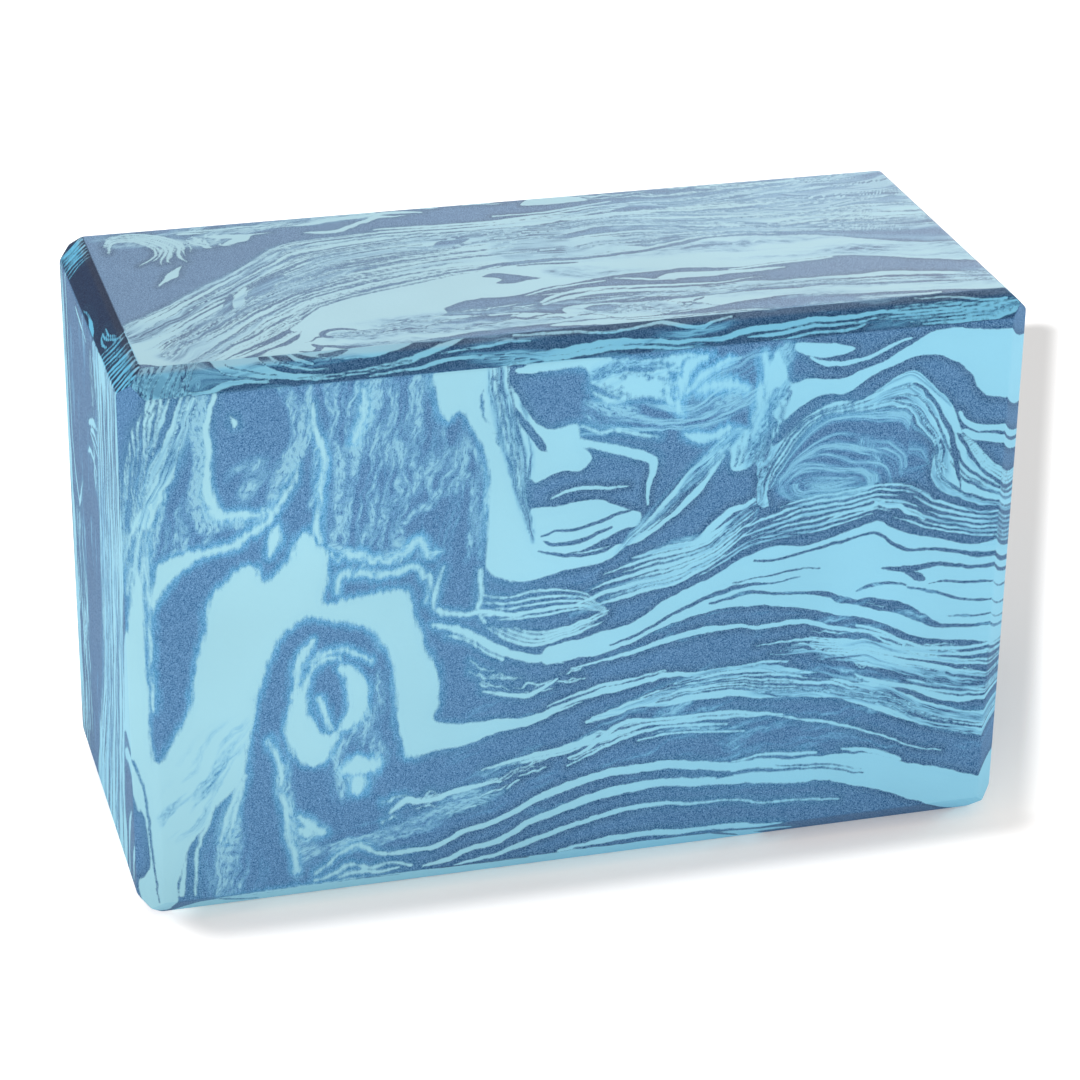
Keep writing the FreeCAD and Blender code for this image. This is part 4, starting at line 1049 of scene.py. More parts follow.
def wandering(u, v, wanders, first):
    """A sum of drifts, each with its pitch, its amount and its seed after the first."""
    return sum(amount * drift(u, v, pitch, seed + first) for pitch, amount, seed in wanders)


def nearest(u, v, line):
    """How far each point lies from a line, and how far along the line its nearest place is."""
    best = np.full(u.shape, np.inf)
    along = np.zeros(u.shape)
    run = 0.0
    for p, q in zip(line[:-1], line[1:]):
        gap, t = from_span(u, v, p, q)
        size = np.hypot(*(q - p))
        along = np.where(gap < best, run + t * size, along)
        best = np.minimum(best, gap)
        run += size
    return best, along


def flow(u, v, way):
    """Places along and across a haze's streaks, which follow an angle or run between two guide lines.

    Between guides, along is the run on the lower one, and across is the share of the way to the upper one
    times the gap at its middle.
    """
    if isinstance(way, tuple):
        low, high = (smooth_path(line) for line in way)
        below, along = nearest(u, v, low)
        above = nearest(u, v, high)[0]
        middle = low[len(low) // 2]
        gap = nearest(middle[:1], middle[1:], high)[0]
        return along, gap * below / (below + above + TINY)
    turn = np.radians(way)
    return u * np.cos(turn) + v * np.sin(turn), v * np.cos(turn) - u * np.sin(turn)


def streaks(u, v, way, size, seed):
    """Seeded noise drawn out along its way, and the places along and across it for its fine threads.

    The noise is a sum of octaves, longest and most marked between guide lines.
    """
    along, across = flow(u, v, way)
    guided = isinstance(way, tuple)
    across = across + wandering(u, v, GUIDED_WANDERS if guided else ANGLED_WANDERS, seed)
    lengths, gain, shorter = GUIDED_STREAKS if guided else ANGLED_STREAKS
    total = np.zeros(u.shape)
    for number, (length, (pitch, share)) in enumerate(zip(lengths, STREAK_OCTAVES)):
        total += share * drift(along / length, across, pitch * size, seed + number)
    return total * gain, along / size * shorter, across / size


def veiling(u, v, depth, size, veils):
    """How far a haze of the other foam hides each point, and its places along and across the haze.

    A haze is pale over slate above zero, and dusky over aqua below. A haze of both foams takes the sign that
    shows on the foam it lies on.
    """
    haze = np.zeros(u.shape)
    grid = np.zeros((2, *u.shape))
    for number, (share, way, feather, (foam, closed, path)) in enumerate(veils):
        near = near_mark(u, v, closed, path, feather)
        if near.size:
            inside = reach_inside(u[near], v[near], closed, path)
            weight = eased(np.clip(0.5 + inside / feather, 0, 1))
            value, *places = streaks(u[near], v[near], way, size, STREAK_SEED + number)
            value = weight * np.clip(share + value, 0, 1)
            side = np.where(depth[near] < 0, AQUA, SLATE) if foam == BOTH else foam
            over = value > np.abs(haze[near])
            haze[near] = np.where(over, value * side, haze[near])
            grid[:, near] = np.where(over, places, grid[:, near])
    return haze, *grid


def block_shape():
    """The block's sizes in millimetres, and how far its seams rise for each millimetre of depth."""
    sizes = bpy.context.scene.yoga_block_sizes
    return SimpleNamespace(
        length=sizes.length / MM,
        depth=sizes.depth / MM,
        height=sizes.height / MM,
        chamfer=sizes.chamfer / MM,
        softness=sizes.edge_softness / MM,
        step=sizes.mesh_step / MM,
        ply_rise=sizes.ply_rise / MM,
        slope=sizes.ply_rise / sizes.depth,
    )


def side_distances(block, points):
    """How far each point lies past each face and chamfer, one row for each side.

    It is the run from the middle in the side's direction, less the half sizes and plus a chamfer's cut.
    """
    half = np.array((block.length, block.depth, block.height)) / 2
    rows = []
    for side in SIDES:
        way = np.array(side, float)
        turns = np.abs(way).sum()
        cut = block.chamfer if turns == 2 else 0.0
        rows.append(((points - half) @ way - np.abs(way) @ half + cut) / np.sqrt(turns))
    return np.array(rows)


def rounded(block, points, distances):
    """The points drawn in at the edges along the blend of the near sides' normals.

    A side's nearness is the exponential of its distance over the softness, and a point moves by the softness
    times the logarithm of their sum.
    """
    ways = np.array(SIDES, float)
    ways /= np.linalg.norm(ways, axis=1)[:, None]
    weight = np.exp(distances / block.softness)
    total = weight.sum(0)
    inward = weight.T @ ways
    inward /= np.linalg.norm(inward, axis=1)[:, None]
    return points - inward * (block.softness * np.log(total))[:, None]


def unrolled(block, side, x, y, z):
    """The chart that a side reads its marbling from, and the places on it, in millimetres.

    Chamfers unroll to root two times their run, and the right end carries on the lines of the front.
    """
    c = block.chamfer
    far = block.length - c
    back = block.depth - y
    down = block.height - z
    rise = ROOT_TWO * (c - down)

    def lap(gap):
        """A chamfer's place beside a face: the face's edge less root two times the run past it."""
        return c - ROOT_TWO * (c - gap)

    if side[0] == 1 and side[1] < 1 and side[2] < 1:
        past = ROOT_TWO * (x - far) if side[1] == -1 else ROOT_TWO * c + y - c
        dip = END_DIP * np.tanh((z - END_DIP_HEIGHT) / END_DIP_RISE) * (1 - np.exp(-past / END_DIP_RUN))
        fall = block.slope * np.maximum(y - c, 0) * (side[1] == 0)
        return "front", far - END_SQUEEZE * past, END_FOOT + np.abs(z + dip - fall - END_FOOT)
    return {
        (0, -1, 0): ("front", x, z),
        (-1, -1, 0): ("front", lap(x), z),
        (0, -1, -1): ("front", x, lap(z)),
        (0, -1, 1): ("brow", x, ROOT_TWO * y),
        (0, 0, 1): ("top", x, y),
        (-1, 0, 0): ("end", y, z),
        (-1, 0, -1): ("end", y, z),
        (-1, 0, 1): ("temple", y, rise),
        (1, 0, 1): ("brow", RIGHT_BROW + y, rise),
        (0, 1, 0): ("front", x, down),
        (0, 1, 1): ("front", x, lap(down)),
        (0, 1, -1): ("brow", x, ROOT_TWO * back),
        (-1, 1, 0): ("front", lap(x), down),
        (1, 1, 0): ("front", far + ROOT_TWO * (x - far), down),
        (0, 0, -1): ("top", x, back),
    }[side]


def surface_marks(block, points, distances):
    """The marbling's depth, haze, places along and across the haze, softness and painted shade, for every
    point.
    """
    depth, haze, along, across, soft, cut = np.zeros((6, len(points)))
    facing = distances.argmax(0)
    for index, side in enumerate(SIDES):
        chosen = np.flatnonzero(facing == index)
        if not chosen.size:
            continue
        chart, u, v = unrolled(block, side, *points[chosen].T)
        wanders = (UNSEEN_WANDER, *WANDERS) if side in UNSEEN_SIDES else WANDERS
        at_u = u + wandering(u, v, wanders, 1)
        at_v = v + wandering(u, v, wanders, 2)
        depth[chosen] = marbling(at_u, at_v, CHARTS[chart])
        hazes = veiling(at_u, at_v, depth[chosen], *VEILS[chart])
        haze[chosen], along[chosen], across[chosen] = hazes
        for face, spot_u, spot_v, radius, amount in SOFT_SPOTS:
            if face == chart:
                away = np.hypot(u - spot_u, v - spot_v) / radius
                amount = amount * np.clip(SOFT_MIDDLE - SOFT_FALL * away, 0, 1)
                soft[chosen] = np.maximum(soft[chosen], amount)
        # painted shade: the chamfers and the left end are given a share of the darker colours
        if chart in PAINTED_SHADE_SHARES:
            cut[chosen] = PAINTED_SHADE_SHARES[chart]
        elif abs(side[1]) + abs(side[2]) == 2:
            cut[chosen] = LONG_CHAMFER_SHADE_SHARE
    return dict(zip(FOAM_INPUTS.values(), (depth, haze, along, across, soft, cut)))


def seam(block, index, x):
    """Height of a seam over the front plane along the length: a smooth curve through even stations."""
    if index < len(SEAMS_UNDER):
        heights = np.array(SEAMS_UNDER[index]) * block.ply_rise
    else:
        heights = np.array(SEAMS_OVER[index - len(SEAMS_UNDER)]) * block.height
    path = smooth_path(np.column_stack([np.linspace(0, block.length, len(heights)), heights]))
    return np.interp(x, path[:, 0], path[:, 1])


def crossings(block, inset, start):
    """Where lines that rise from a height on the front plane enter and leave the block.

    Each face and long chamfer sets the depth a limit; the line enters at the largest lower limit and leaves
    at the smallest upper one.
    """
    k, c, d, h = block.slope, block.chamfer, block.depth, block.height
    flat = np.zeros_like(start)
    enter = [inset + flat, (inset - start) / k, (c - start) / (1 + k), (c - h + start) / (1 - k)]
    leave = [
        d - inset + flat,
        (h - inset - start) / k,
        (d + h - c - start) / (1 + k),
        (d - c + start) / (1 - k),
    ]
    return np.maximum.reduce(enter), np.minimum.reduce(leave)


def rows_between(low, high, pitch):
    """Even rows from one height to another along the length, no further apart than the pitch."""
    count = max(2, int(np.ceil((high - low).max() / pitch)))
    return low + (high - low) * np.linspace(0, 1, count + 1)[:, None]


def ply_rows(block, index, x, inset):
    """Heights over the front plane of a ply's rows of points, from its lower seam to its upper one.

    The lowest and highest plies end on an edge of the block, and their last rows close up along its chamfer.
    """
    k, c, d, h = block.slope, block.chamfer, block.depth, block.height
    deeper = np.maximum(inset, c - inset)
    top = h - inset - k * deeper
    knee = np.minimum(h - deeper - k * inset, top - KNEE_GAP)
    pitch = ROW_SHARE * block.step
    fine_pitch = EDGE_ROW_SHARE * block.step
    if index == 0:
        bottom, bend = h - k * d - top, h - k * d - knee
        fine = rows_between(bottom, bend, fine_pitch)
        return np.vstack([fine, rows_between(bend, seam(block, 0, x), pitch)[1:]])
    low = seam(block, index - 1, x)
    if index == len(PLIES) - 1:
        return np.vstack([rows_between(low, knee, pitch), rows_between(knee, top, fine_pitch)[1:]])
    return rows_between(low, seam(block, index, x), pitch)


def quads(grid):
    """Four-cornered faces of a grid of point numbers, anticlockwise from the side its rows rise on."""
    return np.stack([grid[:-1, :-1], grid[:-1, 1:], grid[1:, 1:], grid[1:, :-1]], -1).reshape(-1, 4)


def ply_surface(block, index):
    """Points, faces and rim numbers of one ply.

    The walls are two grids where rising lines enter and leave the block, the ends are grids between them,
    and each seam is one strip from wall to wall. The lowest and highest plies close up along an edge.
    """
    ends = np.linspace(0, block.chamfer, int(np.ceil(block.chamfer * CHAMFER_SHARE / block.step)) + 1)
    middle = np.linspace(block.chamfer, block.length - block.chamfer, int(block.length / block.step))
    x = np.concatenate([ends[:-1], middle, block.length - ends[-2::-1]])
    inset = np.maximum(block.chamfer - np.minimum(x, block.length - x), 0)
    rows = ply_rows(block, index, x, inset)
    enter, leave = crossings(block, inset, rows)
    count, wide = rows.shape
    across = int(block.depth / block.step * CAP_SHARE)
    share = np.linspace(0, 1, across + 1)[1:-1]

    def placed(along, at, start):
        """Points at a place along the length and a depth, raised by the slope times that depth."""
        return np.stack([along + 0 * at, at, start + block.slope * at], -1).reshape(-1, 3)

    points = [placed(x, enter, rows), placed(x, leave, rows)]
    for column in (0, -1):
        at = enter[:, [column]] + (leave - enter)[:, [column]] * share
        points.append(placed(x[column], at, rows[:, [column]]))
    points = np.vstack(points)

    near = np.arange(count * wide).reshape(count, wide)
    back = near + count * wide
    caps = 2 * count * wide + np.arange(2 * count * (across - 1)).reshape(2, count, across - 1)
    closed_row = {0: 0, len(PLIES) - 1: -1}.get(index)
    if closed_row is not None:
        back[closed_row] = near[closed_row]
        for cap, column in zip(caps, (0, -1)):
            cap[closed_row] = near[closed_row, column]
    left = np.column_stack([near[:, 0], caps[0], back[:, 0]])
    right = np.column_stack([near[:, -1], caps[1], back[:, -1]])

    faces = [quads(near), quads(back)[:, ::-1], quads(right), quads(left)[:, ::-1]]
    rim = np.zeros(len(points), int)
    strips = []
    for row, turn in ((0, -1), (-1, 1)):
        if row == closed_row:
            continue
        band = np.stack([near[row, 1:-1], back[row, 1:-1]])
        faces.append(quads(band)[:, ::turn])
        strips.append(np.concatenate([near[row, [0, 1]], back[row, [1]], left[row, :0:-1]])[::turn])
        strips.append(np.concatenate([near[row, [-2]], right[row], back[row, [-2]]])[::turn])
        for number, line in enumerate((near[row], back[row], left[row], right[row])):
            rim[line] |= 1 << (number + (4 if row else 0))
    return points, np.vstack(faces), strips, rim


def ply_object(name, points, faces, strips, rim):
    """A mesh object of the points, with repeated corners dropped and the seam rims kept sharp."""
    keep = faces != np.roll(faces, -1, axis=1)
    sound = keep.sum(1) > 2
    faces, keep = faces[sound], keep[sound]
    corners = np.concatenate([faces[keep], *strips])
    sizes = np.concatenate([keep.sum(1), [len(ring) for ring in strips]]).astype(int)
    used, corners = np.unique(corners, return_inverse=True)
    points, rim = points[used], rim[used]

    mesh = bpy.data.meshes.new(name)
    mesh.vertices.add(len(points))
    mesh.loops.add(len(corners))
    mesh.polygons.add(len(sizes))
    mesh.vertices.foreach_set("co", points.astype(np.float32).ravel())
    mesh.loops.foreach_set("vertex_index", corners.astype(np.int32).ravel())
    mesh.polygons.foreach_set("loop_start", (np.cumsum(sizes) - sizes).astype(np.int32))
    mesh.update(calc_edges=True)
    edges = np.empty(len(mesh.edges) * 2, np.int32)
    mesh.edges.foreach_get("vertices", edges)
    pairs = rim[edges.reshape(-1, 2)]
    sharp = mesh.attributes.new("sharp_edge", "BOOLEAN", "EDGE")
    sharp.data.foreach_set("value", (pairs[:, 0] & pairs[:, 1]) > 0)
    if mesh.validate():
        raise RuntimeError(f"{name}: the surface has faulty faces")
    piece = bpy.data.objects.new(name, mesh)
    bpy.context.scene.collection.objects.link(piece)
    return piece, used


def draw_ply(index, material):
    """Draws one ply with its marbling and puts it in the CAD solid's place."""
    block = block_shape()
    node = PLIES[index]
    points, faces, strips, rim = ply_surface(block, index)
    distances = side_distances(block, points)
    marks = surface_marks(block, points, distances)
    corner = np.array(CAD_BOX[0])
    placed = rounded(block, points, distances) * MM + corner
    piece, used = ply_object(node + "_marbled", placed, faces, strips, rim)
    for name, values in marks.items():
        attribute = piece.data.attributes.new(name, "FLOAT", "POINT")
        attribute.data.foreach_set("value", values[used].astype(np.float32))
    piece.data.materials.append(material)
    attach(piece, "root")
    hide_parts(node)


# the foam's noises: how many to the metre, detail and roughness; drawn threads have places of their own
FRAY = (140.0, 2.0, 0.5)
FUZZ = (900.0, 2.0, 0.6)
COMB = (650.0, 3.0, 0.6)
BORDER_THREADS = (70.0, 1.0, 0.5)
DRAWN_THREADS = (1.0, 2.0, 0.65)
SPECKS = (3400.0, 2.0, 0.75)
CLOUDS = (24.0, 2.0, 0.5)
GRAIN = (1300.0, 3.0, 0.6)
# how fast the fraying and the border's threads change with depth, and how the comb is drawn out upward
FRAY_CHANGE = 1.4
THREAD_CHANGE = 3.2
COMB_SQUEEZE = (1.0, 1.0, 0.2)
# how far each noise frays the border, in millimetres where the foams met crisply and where softly
FRAY_AMOUNTS = (0.8, 2.4)
FUZZ_AMOUNTS = (0.5, 0.9)
COMB_AMOUNTS = (0.0, 4.2)
# half width of the border there, depths that its tint runs between, and the tint's share, soft and crisp
BORDER_WIDTHS = (0.16, 0.8)
TINT_DEPTHS = (-2.6, -0.1)
FRINGE_SHARE = 0.95
SHADE_SHARE = 0.3
# the border's threads: noise that they set in at, depths that they end at, and shares in slate and aqua
THREAD_LEVELS = (0.08, 0.2)
THREAD_DEPTHS = (1.4, 2.8)
THREADS_IN_SLATE = 0.32
THREADS_IN_AQUA = 0.3
# how many drawn threads there are to the millimetre across and along, and how strong they and their haze are
THREADS_ACROSS = 1.5
THREADS_ALONG = 0.12
THREAD_GAIN = 4.2
HAZE_GAIN = 0.8
# the slate's specks in the clear, in full haze and where the painted shade lies, and the colour that each
# adds
CLEAR_SPECKS = 3.2
HAZY_SPECKS = 1.0
SHADED_FACE_SPECKS = 0.2
SPECK_COLOUR = (0.16, 0.266, 0.37)
# how much darker the slate turns away from the painted sheen, how cloudy the foam is, and the painted shade
# and sheen on the top: its tone and saturation there
UNSHEENED_SLATE_DARKENING = 0.14
CLOUD_GAIN = 0.2
TOP_SHADE_TONE = 0.94
TOP_SHEEN_SATURATION = 0.8
# the surface's roughness and how far its grain varies that
ROUGHNESS = 0.6
ROUGHNESS_GRAIN = 0.16
# where the top face sets in, and where the painted sheen toward the left end fades out along the length
TOP_LEVELS = (0.146, 0.1475)
SHEEN_FADE_SPAN = (-0.09, 0.06)


def add_node(tree, kind, values=None, **settings):
    """Adds a node, applies its settings, and links or sets each of the given inputs."""
    node = tree.nodes.new(kind)
    for key, value in settings.items():
        setattr(node, key, value)
    for key, value in (values or {}).items():
        if isinstance(value, bpy.types.NodeSocket):
            tree.links.new(value, node.inputs[key])
        else:
            node.inputs[key].default_value = value
    return node


def calc(tree, operation, first, second=0.0, third=0.0):
    """A math node's result."""
    values = {0: first, 1: second, 2: third}
    return add_node(tree, "ShaderNodeMath", values, operation=operation).outputs[0]


def times(tree, first, second):
    """A product."""
    return calc(tree, "MULTIPLY", first, second)


def ramp(tree, value, low, high, start=0.0, end=1.0):
    """A value eased from start to end while it passes from low to high."""
    values = {0: value, 1: low, 2: high, 3: start, 4: end}
    return add_node(tree, "ShaderNodeMapRange", values, interpolation_type="SMOOTHSTEP").outputs[0]


def blend(tree, share, first, second):
    """A colour between two others."""
    return add_node(tree, "ShaderNodeMix", {0: share, 6: first, 7: second}, data_type="RGBA").outputs[2]


def noise(tree, place, scale, detail, roughness, along=None):
    """Smooth noise centred on zero, also varied along a fourth value where one is given."""
    values = {"Vector": place, "Scale": scale, "Detail": detail, "Roughness": roughness}
    if along is not None:
        values["W"] = along
    kind = "3D" if along is None else "4D"
    node = add_node(tree, "ShaderNodeTexNoise", values, noise_dimensions=kind)
    return calc(tree, "SUBTRACT", node.outputs[0], 0.5)


def foam_group():
    """Node group that turns the marbling's depth into the two foams with their frayed border and painted
    sheen and shade.
    """
    tree = bpy.data.node_groups.new("Marbled Foam", "ShaderNodeTree")
    for name in FOAM_INPUTS:
        tree.interface.new_socket(name, in_out="INPUT", socket_type="NodeSocketFloat")
    for name in FOAM_COLOURS:
        tree.interface.new_socket(name, in_out="INPUT", socket_type="NodeSocketColor")
    tree.interface.new_socket("Colour", in_out="OUTPUT", socket_type="NodeSocketColor")
    for name in ("Roughness", "Height"):
        tree.interface.new_socket(name, in_out="OUTPUT", socket_type="NodeSocketFloat")
    given = add_node(tree, "NodeGroupInput").outputs
    place = add_node(tree, "ShaderNodeTexCoord").outputs["Object"]
    squeeze = {0: place, 1: COMB_SQUEEZE}
    drawn_up = add_node(tree, "ShaderNodeVectorMath", squeeze, operation="MULTIPLY").outputs[0]
    depth, soft, cut = given["Depth"], given["Softness"], given["Cut Face"]

    # the border frays along itself, and is combed upward where the foams ran together softly
    fray = noise(tree, place, *FRAY, times(tree, depth, FRAY_CHANGE))
    fuzz = noise(tree, place, *FUZZ)
    comb = noise(tree, drawn_up, *COMB)
    ragged = depth
    for grain, amounts in ((fray, FRAY_AMOUNTS), (fuzz, FUZZ_AMOUNTS), (comb, COMB_AMOUNTS)):
        ragged = calc(tree, "MULTIPLY_ADD", grain, ramp(tree, soft, 0.0, 1.0, *amounts), ragged)
    width = ramp(tree, soft, 0.0, 1.0, *BORDER_WIDTHS)
    aqua_share = ramp(tree, calc(tree, "DIVIDE", ragged, width), -1.0, 1.0)
    border = ramp(tree, ragged, *TINT_DEPTHS)

    # threads of each foam run along the border, and fine grains stand in the slate foam
    thread = noise(tree, place, *BORDER_THREADS, times(tree, depth, THREAD_CHANGE))
    thread = ramp(tree, thread, *THREAD_LEVELS)
    thread = times(tree, thread, ramp(tree, calc(tree, "ABSOLUTE", depth), *THREAD_DEPTHS, 1.0, 0.0))
    speck = noise(tree, place, *SPECKS)
    cloud = noise(tree, place, *CLOUDS)

    way = add_node(tree, "ShaderNodeSeparateXYZ", {0: place}).outputs
    below_top = ramp(tree, way["Z"], *TOP_LEVELS, 1.0, 0.0)
    # painted sheen: the aqua is paler and the slate lighter on the top and toward the left end, and both
    # deepen away from it
    deep = times(tree, ramp(tree, way["X"], *SHEEN_FADE_SPAN), below_top)
    aqua = blend(tree, deep, given["Pale Aqua"], given["Aqua"])
    # painted shade: the chamfers and the left end take the darker, deeper colours
    aqua = blend(tree, cut, aqua, given["Cut Aqua"])
    slate = blend(tree, times(tree, deep, UNSHEENED_SLATE_DARKENING), given["Slate"], given["Cut Slate"])
    slate = blend(tree, cut, slate, given["Cut Slate"])
    slate = blend(tree, times(tree, thread, THREADS_IN_SLATE), slate, aqua)
    loose_border = times(tree, border, times(tree, soft, FRINGE_SHARE))
    slate = blend(tree, loose_border, slate, given["Fringe"])
    crisp = times(tree, calc(tree, "SUBTRACT", 1.0, soft), SHADE_SHARE)
    slate = blend(tree, times(tree, border, crisp), slate, given["Cut Slate"])

    # fine threads follow the streaks of each haze, which is pale over slate and dusky over aqua
    across = times(tree, given["Across"], THREADS_ACROSS)
    along = times(tree, given["Along"], THREADS_ALONG)
    led = add_node(tree, "ShaderNodeCombineXYZ", {0: across, 1: along}).outputs[0]
    drawn = calc(tree, "MULTIPLY_ADD", noise(tree, led, *DRAWN_THREADS), THREAD_GAIN, 1.0)
    haze = times(tree, given["Haze"], calc(tree, "MAXIMUM", drawn, 0.0))
    pale = times(tree, calc(tree, "MAXIMUM", haze, 0.0), HAZE_GAIN)
    pale = calc(tree, "MINIMUM", pale, HAZE_GAIN)
    slate = blend(tree, pale, slate, blend(tree, pale, given["Fringe"], aqua))
    grains = times(tree, speck, ramp(tree, pale, 0.0, HAZE_GAIN, CLEAR_SPECKS, HAZY_SPECKS))
    # fewer specks where the painted shade lies
    grains = times(tree, grains, ramp(tree, cut, 0.0, 1.0, 1.0, SHADED_FACE_SPECKS))
    grainy = {0: grains, 1: SPECK_COLOUR, 2: slate}
    slate = add_node(tree, "ShaderNodeVectorMath", grainy, operation="MULTIPLY_ADD").outputs[0]
    dusk = times(tree, calc(tree, "MINIMUM", haze, 0.0), -HAZE_GAIN)
    dusk = calc(tree, "MAXIMUM", dusk, times(tree, thread, THREADS_IN_AQUA))
    aqua = blend(tree, dusk, aqua, blend(tree, dusk, given["Fringe"], slate))
    colour = blend(tree, aqua_share, slate, aqua)
    # painted shade and sheen on the top: its tone is lowered and its colour greyed; the clouds vary the tone
    # at random
    tone = calc(tree, "MULTIPLY_ADD", cloud, CLOUD_GAIN, ramp(tree, below_top, 0.0, 1.0, TOP_SHADE_TONE, 1.0))
    saturation = ramp(tree, below_top, 0.0, 1.0, TOP_SHEEN_SATURATION, 1.0)
    finish = {"Value": tone, "Saturation": saturation, "Color": colour}
    colour = add_node(tree, "ShaderNodeHueSaturation", finish).outputs[0]

    grain = noise(tree, place, *GRAIN)
    output = add_node(tree, "NodeGroupOutput")
    tree.links.new(colour, output.inputs["Colour"])
    roughness = calc(tree, "MULTIPLY_ADD", grain, ROUGHNESS_GRAIN, ROUGHNESS)
    tree.links.new(roughness, output.inputs["Roughness"])
    tree.links.new(grain, output.inputs["Height"])
    return tree


def box_gap(tree, place, half):
    """The distance from a box round the origin: the length of what lies past its half sizes."""
    for sum_name, other in (("ABSOLUTE", half), ("SUBTRACT", half), ("MAXIMUM", (0.0, 0.0, 0.0))):
        place = add_node(tree, "ShaderNodeVectorMath", {0: place, 1: other}, operation=sum_name).outputs[0]
    return add_node(tree, "ShaderNodeVectorMath", {0: place}, operation="LENGTH").outputs["Value"]


def opaque(colour):
    """A colour property's value with full opacity."""
    return (*colour, 1.0)


def foam_material(name):
    """One foam's material: the shared marbling group on a matt, finely grained surface."""
    material = bpy.data.materials.get(name)
    if material:
        return material
    material = bpy.data.materials.new(name)
    material.use_nodes = True
    tree = material.node_tree
    tree.nodes.clear()
    marbled = bpy.data.node_groups.get("Marbled Foam") or foam_group()
    group = add_node(tree, "ShaderNodeGroup", node_tree=marbled)
    for key, attribute in FOAM_INPUTS.items():
        source = add_node(tree, "ShaderNodeAttribute", attribute_name=attribute)
        tree.links.new(source.outputs["Fac"], group.inputs[key])
    colours = bpy.context.scene.yoga_block_colours
    for key in FOAM_COLOURS:
        group.inputs[key].default_value = opaque(getattr(colours, key.lower().replace(" ", "_")))
    grain = {"Strength": 0.25, "Distance": 0.0002, "Height": group.outputs["Height"]}
    bump = add_node(tree, "ShaderNodeBump", grain)
    shader = add_node(
        tree,
        "ShaderNodeBsdfPrincipled",
        {
            "Base Color": group.outputs["Colour"],
            "Roughness": group.outputs["Roughness"],
            "Normal": bump.outputs[0],
            "Specular IOR Level": 0.12,
        },
    )
    output = add_node(tree, "ShaderNodeOutputMaterial")
    tree.links.new(shader.outputs[0], output.inputs["Surface"])
    return material


def figure(label, about, value, **more):
    """A plain figure that the panel offers."""
    return FloatProperty(name=label, description=about, default=value, **more)


def distance(label, about, value):
    """A length that the panel offers."""
    return figure(label, about, value, unit="LENGTH")


def triple(label, about, value, subtype="COLOR"):
    """Three figures that the panel offers: a colour, a place or a direction."""
    return FloatVectorProperty(name=label, description=about, default=value, size=3, subtype=subtype)


class YogaBlockSizes(bpy.types.PropertyGroup):
    """Sizes of the block and its plies."""

    length: distance("Length", "Block length from end to end", CAD_SIZE.x)
    depth: distance("Depth", "Block depth from front to back", CAD_SIZE.y)
    height: distance("Height", "Block height from floor to top", CAD_SIZE.z)
    chamfer: distance("Chamfer", "Width cut off each face by a chamfer", 0.006)
    ply_rise: distance("Ply Rise", "How far the plies rise from front to back", 0.06)
    edge_softness: distance("Edge Softness", "Rounding of the chamfers' edges", 0.00025)
    mesh_step: distance("Mesh Step", "Spacing of the marbled points", 0.00048)


class YogaBlockColours(bpy.types.PropertyGroup):
    """Colours of the two foams."""

    slate: triple("Slate", "Grey-blue foam", (0.098, 0.243, 0.45))
    aqua: triple("Aqua", "Pale blue-green foam", (0.275, 0.635, 0.83))
    # painted sheen: the aqua's paler colour on the top and toward the left end
    pale_aqua: triple("Pale Aqua", "The same foam toward one end", (0.36, 0.68, 0.80))
    fringe: triple("Fringe", "Blue where the foams meet", (0.12, 0.43, 0.73))
    # painted shade on the chamfers and the left end; the dark slate also darkens the slate away from the
    # painted sheen and along crisp borders
    cut_slate: triple("Cut Slate", "Grey-blue foam on cut edges", (0.002, 0.022, 0.075))
    cut_aqua: triple("Cut Aqua", "Blue-green foam on cut edges", (0.12, 0.47, 0.70))


